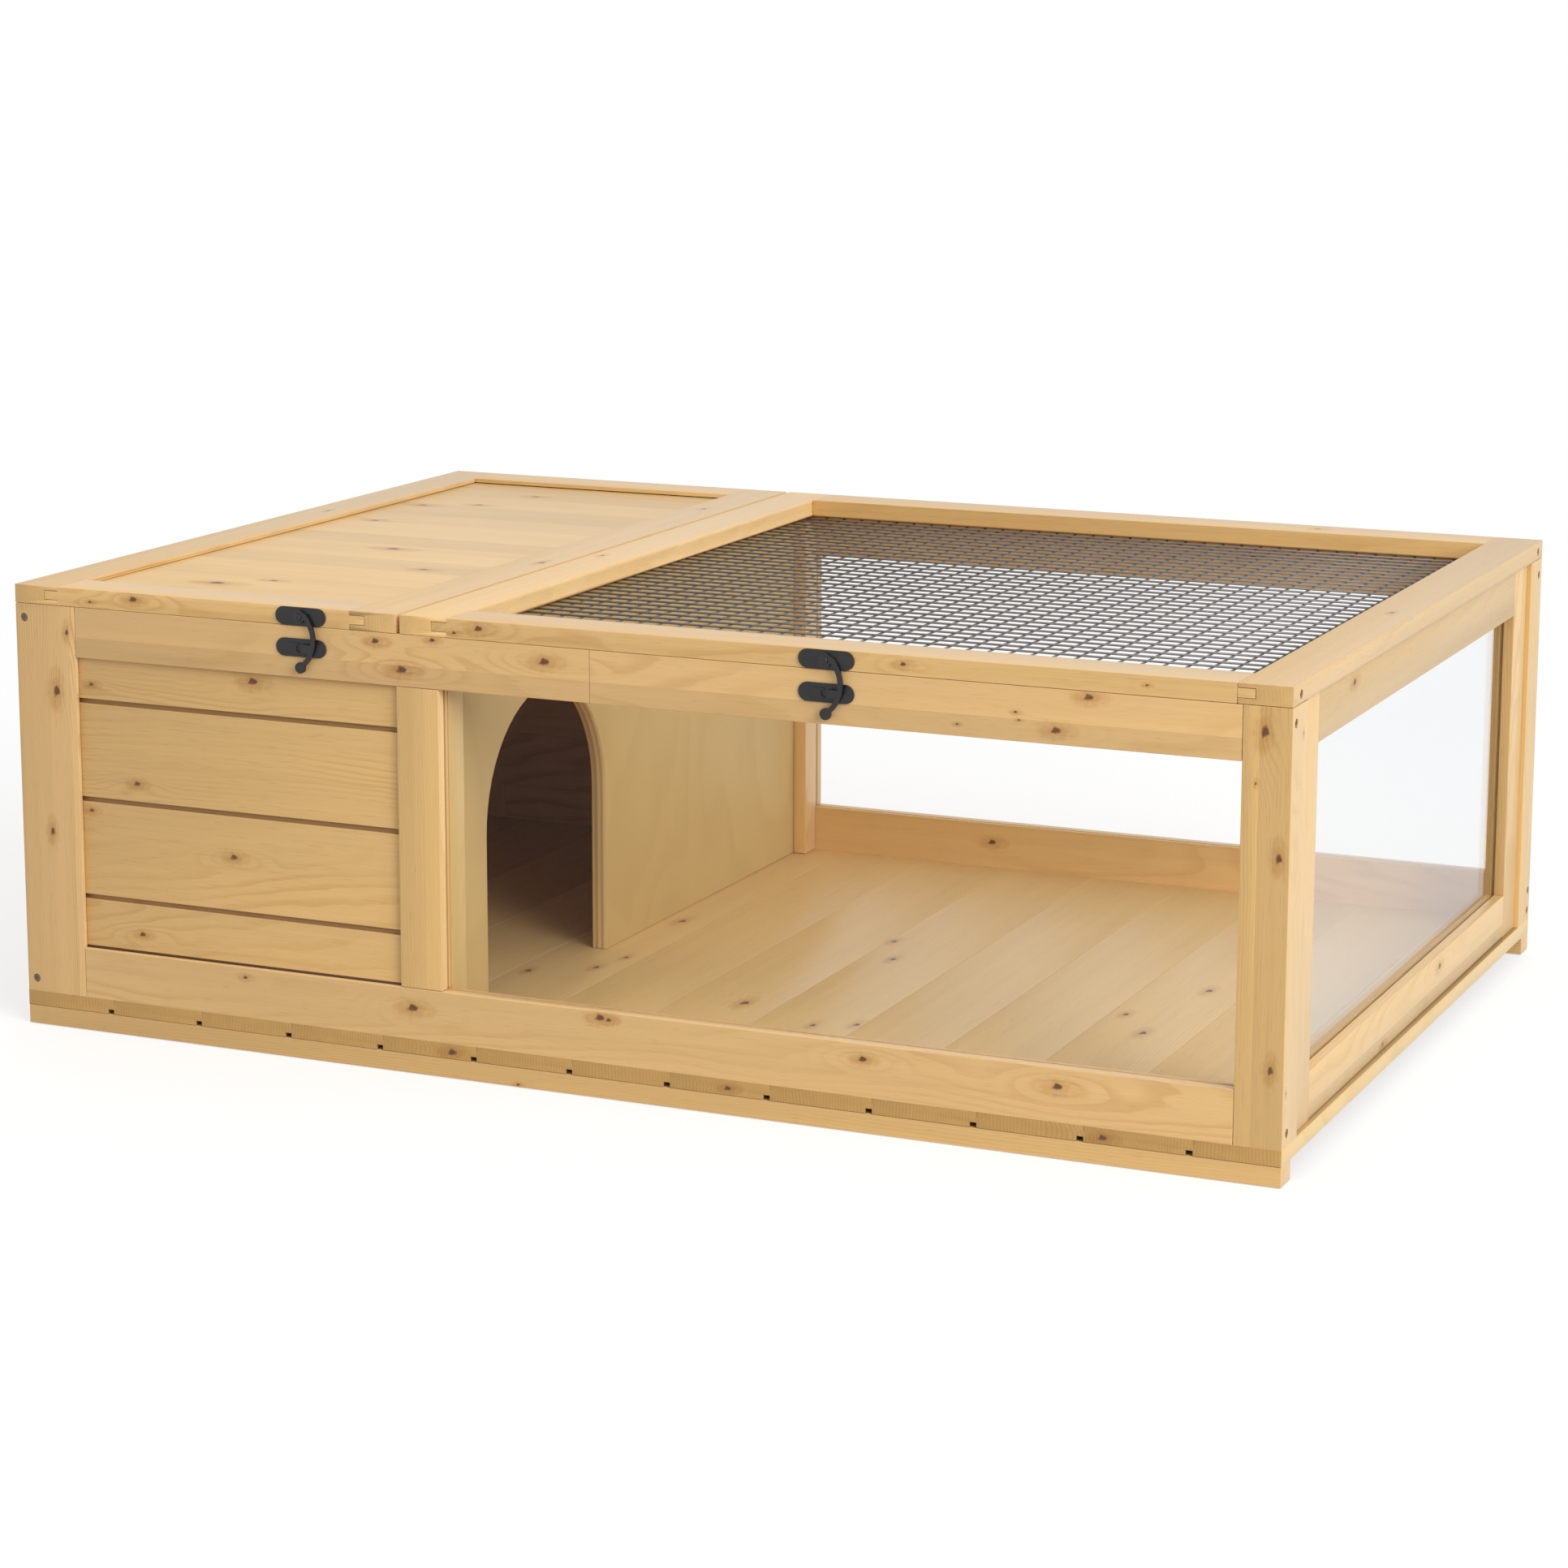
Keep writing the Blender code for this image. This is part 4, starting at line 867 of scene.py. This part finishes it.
    "partition_rear_batten": dict(UPRIGHT, tone=1.0, seed=34.8),
    "left_lid_left_rail": dict(BACKWARD, tone=0.95, seed=35.2, pith=(0.05, 0.03), end_grain=0.15,
                               knots=(("Z", (0.020, 0.420, 0), 0.0024),)),
    "left_lid_right_rail": dict(
        BACKWARD, tone=1.02, seed=36.4, pith=(0.05, 0.03), end_grain=0.15,
        knots=(("Z", (0.3080, 0.250, 0), 0.0034), ("Z", (0.300, 0.560, 0), 0.0026)),
    ),
    "left_lid_front_rail": dict(
        ACROSS, tone=1.08, seed=37.7, pith=(0.05, -0.02),
        knots=(("Y", (0.1027, 0, 0.3305), 0.0032), ("Y", (0.0654, 0, 0.3262), 0.0014)),
    ),
    "left_lid_back_rail": dict(ACROSS, tone=1.0, seed=38.3, pith=(0.06, 0.03)),
    "left_lid_panel": dict(
        ACROSS, tone=1.07, seed=39.9, pith=(0.03, 0.05), figure=1.2, lines=1.7, tint=(1.0, 0.995, 0.90, 1),
        bands=(("Y", (
            (0.02, 1.01), (0.078, 0.98), (0.128, 1.03), (0.190, 0.93), (0.236, 1.03), (0.300, 0.925),
            (0.345, 1.03), (0.408, 0.985), (0.455, 0.93), (0.520, 1.03), (0.570, 0.955), (0.620, 1.02),
        )),),
        knots=(
            ("Z", (0.120, 0.086, 0), 0.0064), ("Z", (0.106, 0.052, 0), 0.0040),
            ("Z", (0.153, 0.113, 0), 0.0036), ("Z", (0.158, 0.285, 0), 0.0058),
            ("Z", (0.062, 0.506, 0), 0.0046), ("Z", (0.069, 0.412, 0), 0.0038),
            ("Z", (0.105, 0.526, 0), 0.0042), ("Z", (0.126, 0.590, 0), 0.0038),
            ("Z", (0.230, 0.205, 0), 0.0040),
        ),
    ),
    "right_lid_left_rail": dict(
        BACKWARD, tone=1.12, seed=40.2, pith=(0.05, 0.03), lines=0.6, end_grain=0.15,
        # Painted shade along the rail's inner face where the wire mesh meets it
        marks_and_shade=(((0.361, 0.0, 0.32), (0.364, 0.7, LID_BOTTOM + 0.0009), 0.6),),
        knots=(("Z", (0.335, 0.300, 0), 0.0024),),
    ),
    "right_lid_right_rail": dict(
        BACKWARD, tone=0.92, seed=41.6, pith=(0.05, 0.03), lines=0.5, end_grain=0.15,
        # Painted shade along the rail's inner face where the wire mesh meets it
        marks_and_shade=(((0.941, 0.0, 0.32), (0.944, 0.7, LID_BOTTOM + 0.0009), 0.6),),
        knots=(("Z", (0.962, 0.300, 0), 0.0024),),
    ),
    "right_lid_front_rail": dict(
        # The Z band paints light: the top face is made paler. The box mark is the line of the bridle joint.
        ACROSS, tone=1.0, seed=42.8, pith=(0.06, 0.02), bands=(("Z", ((0.3, 1.0), (0.33545, 1.24))),),
        marks_and_shade=(((0.9422, -0.001, 0.3256), (0.9427, 0.0004, 0.3322), 0.6),),
        knots=(
            ("Y", (0.3880, 0, 0.3297), 0.0032), ("Y", (0.3685, 0, 0.3255), 0.0016),
            ("Y", (0.7095, 0, 0.3293), 0.0022), ("Y", (0.8810, 0, 0.3288), 0.0012),
        ),
    ),
    "right_lid_back_rail": dict(
        ACROSS, tone=1.0, seed=43.4, pith=(0.06, 0.02),
        # Painted shade along the rail's inner face where the wire mesh meets it
        marks_and_shade=(((0.3, 0.644, 0.32), (0.99, 0.648, LID_BOTTOM + 0.0009), 0.6),),
        knots=(("Z", (0.800, 0.665, 0), 0.0026),),
    ),
}

# Nodes whose seams are cut into one solid, too narrow for a full arris
SEAMED = ("floor", "back_boards", "left_boards")

# Half widths of the boxes that catch the points near one plane
LEVEL_NEAR = 0.0001
ROUND_NEAR = 0.0002
SHOULDER_NEAR = 0.0006
GLUE_NEAR = 0.0008

# The lids' front rails meet their side rails in bridle joints at these places
LID_ENDS = (RAIL_WIDTH, LEFT_LID_RIGHT - RAIL_WIDTH, RIGHT_LID_LEFT + RAIL_WIDTH)


def level_box(height):
    """A thin box over the object's whole plan, at a height."""
    return ((-0.01, -0.01, height - LEVEL_NEAR), (1.0, 0.70, height + LEVEL_NEAR))


def shoulder_boxes(depth):
    """Boxes at the lids' front joints, from the front face back to a depth."""
    return tuple(((x - SHOULDER_NEAR, -0.001, 0.32), (x + SHOULDER_NEAR, depth, 0.34)) for x in LID_ENDS)


# Edges that stay sharp, and points that move to close a glue line
GLUE_BOX = ((LEG_LEFT - GLUE_NEAR, -0.001, 0.0), (LEG_LEFT + GLUE_NEAR, 0.040, 0.33))
FOOT_BOX = level_box(WALL_BOTTOM)
SKID_BOX = level_box(SKID_TOP)
STANDING = (
    "front_corner_stile", "front_bottom_rail", "front_end_stile", "back_corner_stile", "back_bottom_rail",
    "back_end_stile", "left_front_stile", "left_rear_stile", "left_bottom_rail", "right_front_leg",
    "right_rear_leg",
)
PLAIN = {node: (FOOT_BOX,) for node in STANDING}
PULLS = {node: ((FOOT_BOX, 2, FLOOR_TOP),) for node in STANDING}
PLAIN["front_end_stile"] = PLAIN["right_front_leg"] = (FOOT_BOX, GLUE_BOX)
PULLS["front_end_stile"] += ((GLUE_BOX, 0, LEG_LEFT),)
PULLS["front_skid"] = PULLS["rear_skid"] = ((SKID_BOX, 2, FLOOR_BOTTOM),)

# The ends of these joints in the front face alone, and their whole shoulders
SHOULDERS = shoulder_boxes(0.0005)
SHOULDER_FACES = shoulder_boxes(0.040)
for side, ends in (("left", (0, 1)), ("right", (2,))):
    front = side + "_lid_front_rail"
    PLAIN[front] = tuple(SHOULDER_FACES[index] for index in ends)
    PULLS[front] = tuple((SHOULDER_FACES[index], 0, LID_ENDS[index]) for index in ends)
PLAIN["left_lid_left_rail"] = (SHOULDERS[0],)
PLAIN["left_lid_right_rail"] = (SHOULDERS[1],)
PLAIN["right_lid_left_rail"] = (SHOULDERS[2],)

# Edges with a full round
RIGHT_SILL = 0.0599
ROUNDS = {
    "front_bottom_rail": (
        ((0, -0.001, PANEL_BOTTOM - ROUND_NEAR), (1.0, 0.0002, PANEL_BOTTOM + ROUND_NEAR)),
    ),
    "right_bottom_rail": (((0.976, 0, RIGHT_SILL - ROUND_NEAR), (1.0, 0.70, RIGHT_SILL + ROUND_NEAR)),),
}

# Screws: node they sink into, place, and the way they face
FRONT = (0, -1, 0)
RIGHT = (1, 0, 0)
BACK = (0, 1, 0)
LEFT = (-1, 0, 0)
SCREWS = (
    ("front_corner_stile", (0.0073, 0, 0.3109), FRONT), ("front_corner_stile", (0.0076, 0, 0.0354), FRONT),
    ("right_front_leg", (WIDTH, 0.0081, 0.3102), RIGHT), ("right_front_leg", (WIDTH, 0.0106, 0.0348), RIGHT),
    ("right_rear_leg", (WIDTH, 0.6745, 0.3085), RIGHT), ("right_rear_leg", (WIDTH, 0.6775, 0.0500), RIGHT),
    ("right_rear_leg", (WIDTH, 0.6770, 0.0335), RIGHT),
    ("right_lid_right_rail", (WIDTH, 0.0177, 0.3277), RIGHT),
    ("right_lid_right_rail", (WIDTH, 0.669, 0.3278), RIGHT),
    ("back_corner_stile", (0.0073, DEPTH, 0.3109), BACK),
    ("back_corner_stile", (0.0076, DEPTH, 0.0354), BACK),
    ("left_lid_left_rail", (0, 0.0177, 0.3277), LEFT), ("left_lid_left_rail", (0, 0.669, 0.3278), LEFT),
)


def make_timber(zinc):
    made = {}
    for node, look in TIMBERS.items():
        if isinstance(look, str):
            material = made[look]
        else:
            low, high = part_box(node)
            centre = (Vector(low) + Vector(high)) / 2 + ORIGIN
            material = made[node] = timber(node, centre, **look)
        seats = []
        for index, (carrier, spot, outward) in enumerate(SCREWS):
            if carrier == node:
                seats.append(screw_seat(spot, outward))
                screw("screw_%d" % (index + 1), BODY_OF_NODE[node], spot, outward, zinc)
        arris = SEAMED_ARRIS if node in SEAMED else TIMBER_ARRIS
        dress(node, material, arris, cutters=seats, plain=PLAIN.get(node, ()), pulls=PULLS.get(node, ()),
              rounds=ROUNDS.get(node, ()))
        for seat in seats:
            bpy.data.objects.remove(seat, do_unlink=True)


# Light, floor and camera

# Strength of the surroundings as light, and as seen
SKY_LIGHT = 0.72
SKY_SEEN = 1.0

FLOOR_REACH = 14.0
FLOOR_HEIGHT = -0.0005
# Distances from the object's middle between which the floor turns from shadowed grey to plain white
FLOOR_NEAR = 1.0
FLOOR_FAR = 2.6
FLOOR_GREY = (0.45, 0.45, 0.45, 1)
FLOOR_BOUNCE = (0.55, 0.55, 0.55, 1)
FLOOR_GLOW = 0.60
BLACK = (0.0, 0.0, 0.0, 1)

LAMP_SIZE = 4.4
LAMP_POWER = 333
LAMP_DISTANCE = 7.5
LAMP_SIDE = (0.76, -0.45, 0.46)

CAMERA_PLACE = (1.68903, -2.40380, 0.81146)
CAMERA_RIGHT = (0.913937, 0.405853, 0.001821)
CAMERA_UP = (-0.078357, 0.172045, 0.981968)
FOCAL_PIXELS = 4865.4
FRAME_PIXELS = 1932
PRINCIPAL_ROW = 850
SENSOR = 36
CLIP_START = 0.05
CLIP_END = 60


def seen(g):
    """One for rays from the camera, straight or by way of gloss or a clear sheet."""
    path = g.node("ShaderNodeLightPath").outputs
    direct = g.math("MAXIMUM", path["Is Camera Ray"], path["Is Glossy Ray"])
    return g.math("MAXIMUM", direct, path["Is Transmission Ray"])


def make_world():
    world = bpy.data.worlds.new("Studio")
    bpy.context.scene.world = world
    world.use_nodes = True
    g = Graph(world.node_tree)
    background = next(node for node in world.node_tree.nodes if node.type == "BACKGROUND")
    background.inputs["Color"].default_value = WHITE
    strength = g.step(seen(g), 0.0, 1.0, SKY_LIGHT, SKY_SEEN, smooth=False)
    g.link(strength, background.inputs["Strength"])


def make_floor():
    size = FLOOR_REACH
    mesh = bpy.data.meshes.new("Floor")
    corners = [(-size, -size, 0), (size, -size, 0), (size, size, 0), (-size, size, 0)]
    mesh.from_pydata(corners, [], [(0, 1, 2, 3)])
    floor = link(bpy.data.objects.new("Floor", mesh))
    floor.location.z = FLOOR_HEIGHT
    material, g, shader = new_material("Floor")
    shader.inputs["Roughness"].default_value = 1.0
    shader.inputs["Specular IOR Level"].default_value = 0.0
    path = g.node("ShaderNodeLightPath").outputs
    away = g.length(g.node("ShaderNodeTexCoord").outputs["Object"])
    far = g.step(away, FLOOR_NEAR, FLOOR_FAR)
    near = g.mix(far, FLOOR_GREY, BLACK)
    g.link(g.mix(path["Is Diffuse Ray"], near, FLOOR_BOUNCE), shader.inputs["Base Color"])
    shader.inputs["Emission Color"].default_value = WHITE
    glow = g.math("ADD", g.math("MULTIPLY", far, 1.0 - FLOOR_GLOW), FLOOR_GLOW)
    g.link(g.math("MULTIPLY", seen(g), glow), shader.inputs["Emission Strength"])
    mesh.materials.append(material)


def make_light():
    light = bpy.data.lights.new("Key", "AREA")
    light.shape = "DISK"
    light.size = LAMP_SIZE
    light.energy = LAMP_POWER
    lamp = link(bpy.data.objects.new("Key", light))
    aim = Vector(LAMP_SIDE).normalized()
    lamp.location = aim * LAMP_DISTANCE
    lamp.rotation_euler = aim.to_track_quat("Z", "Y").to_euler()


def make_camera():
    data = bpy.data.cameras.new("Camera")
    data.sensor_width = SENSOR
    data.lens = FOCAL_PIXELS / FRAME_PIXELS * SENSOR
    data.shift_y = (PRINCIPAL_ROW - FRAME_PIXELS / 2) / FRAME_PIXELS
    data.clip_start = CLIP_START
    data.clip_end = CLIP_END
    camera = link(bpy.data.objects.new("Camera", data))
    right = Vector(CAMERA_RIGHT).normalized()
    back = right.cross(Vector(CAMERA_UP)).normalized()
    up = back.cross(right)
    turn = Matrix((right, up, back)).transposed().to_4x4()
    camera.matrix_world = Matrix.Translation(place(*CAMERA_PLACE)) @ turn
    bpy.context.scene.camera = camera


black = coated_metal("black_metal", (0.009, 0.009, 0.010, 1), 0.42, 0.0)
polished = coated_metal("polished_black", (0.010, 0.010, 0.011, 1), 0.26, 0.0)
wire = coated_metal("mesh_wire", (0.190, 0.182, 0.174, 1), 0.42, 0.3)
zinc = coated_metal("zinc", (0.19, 0.15, 0.11, 1), 0.42, 0.7)
front_sheet = clear_sheet("front_sheet", 0.008)
side_sheet = clear_sheet("side_sheet", 0.05)
sheet_edge = clear_edge("sheet_edge")

make_timber(zinc)
dress("partition", plywood("plywood"), PLATE_ARRIS)
welded_mesh(wire)
for side in ("left", "right"):
    dress(side + "_hook", polished, ROUND, segments=4)
    dress(side + "_latch_plate", black, PLATE_ARRIS)
    dress(side + "_keeper", black, PLATE_ARRIS)
for node in NODES:
    if "hinge" in node:
        dress(node, black, HINGE_ARRIS)
    elif node.endswith("_pane"):
        glaze(node, side_sheet if node == "right_pane" else front_sheet, sheet_edge)

make_world()
make_floor()
make_light()
make_camera()
bpy.context.scene.view_settings.view_transform = "Standard"
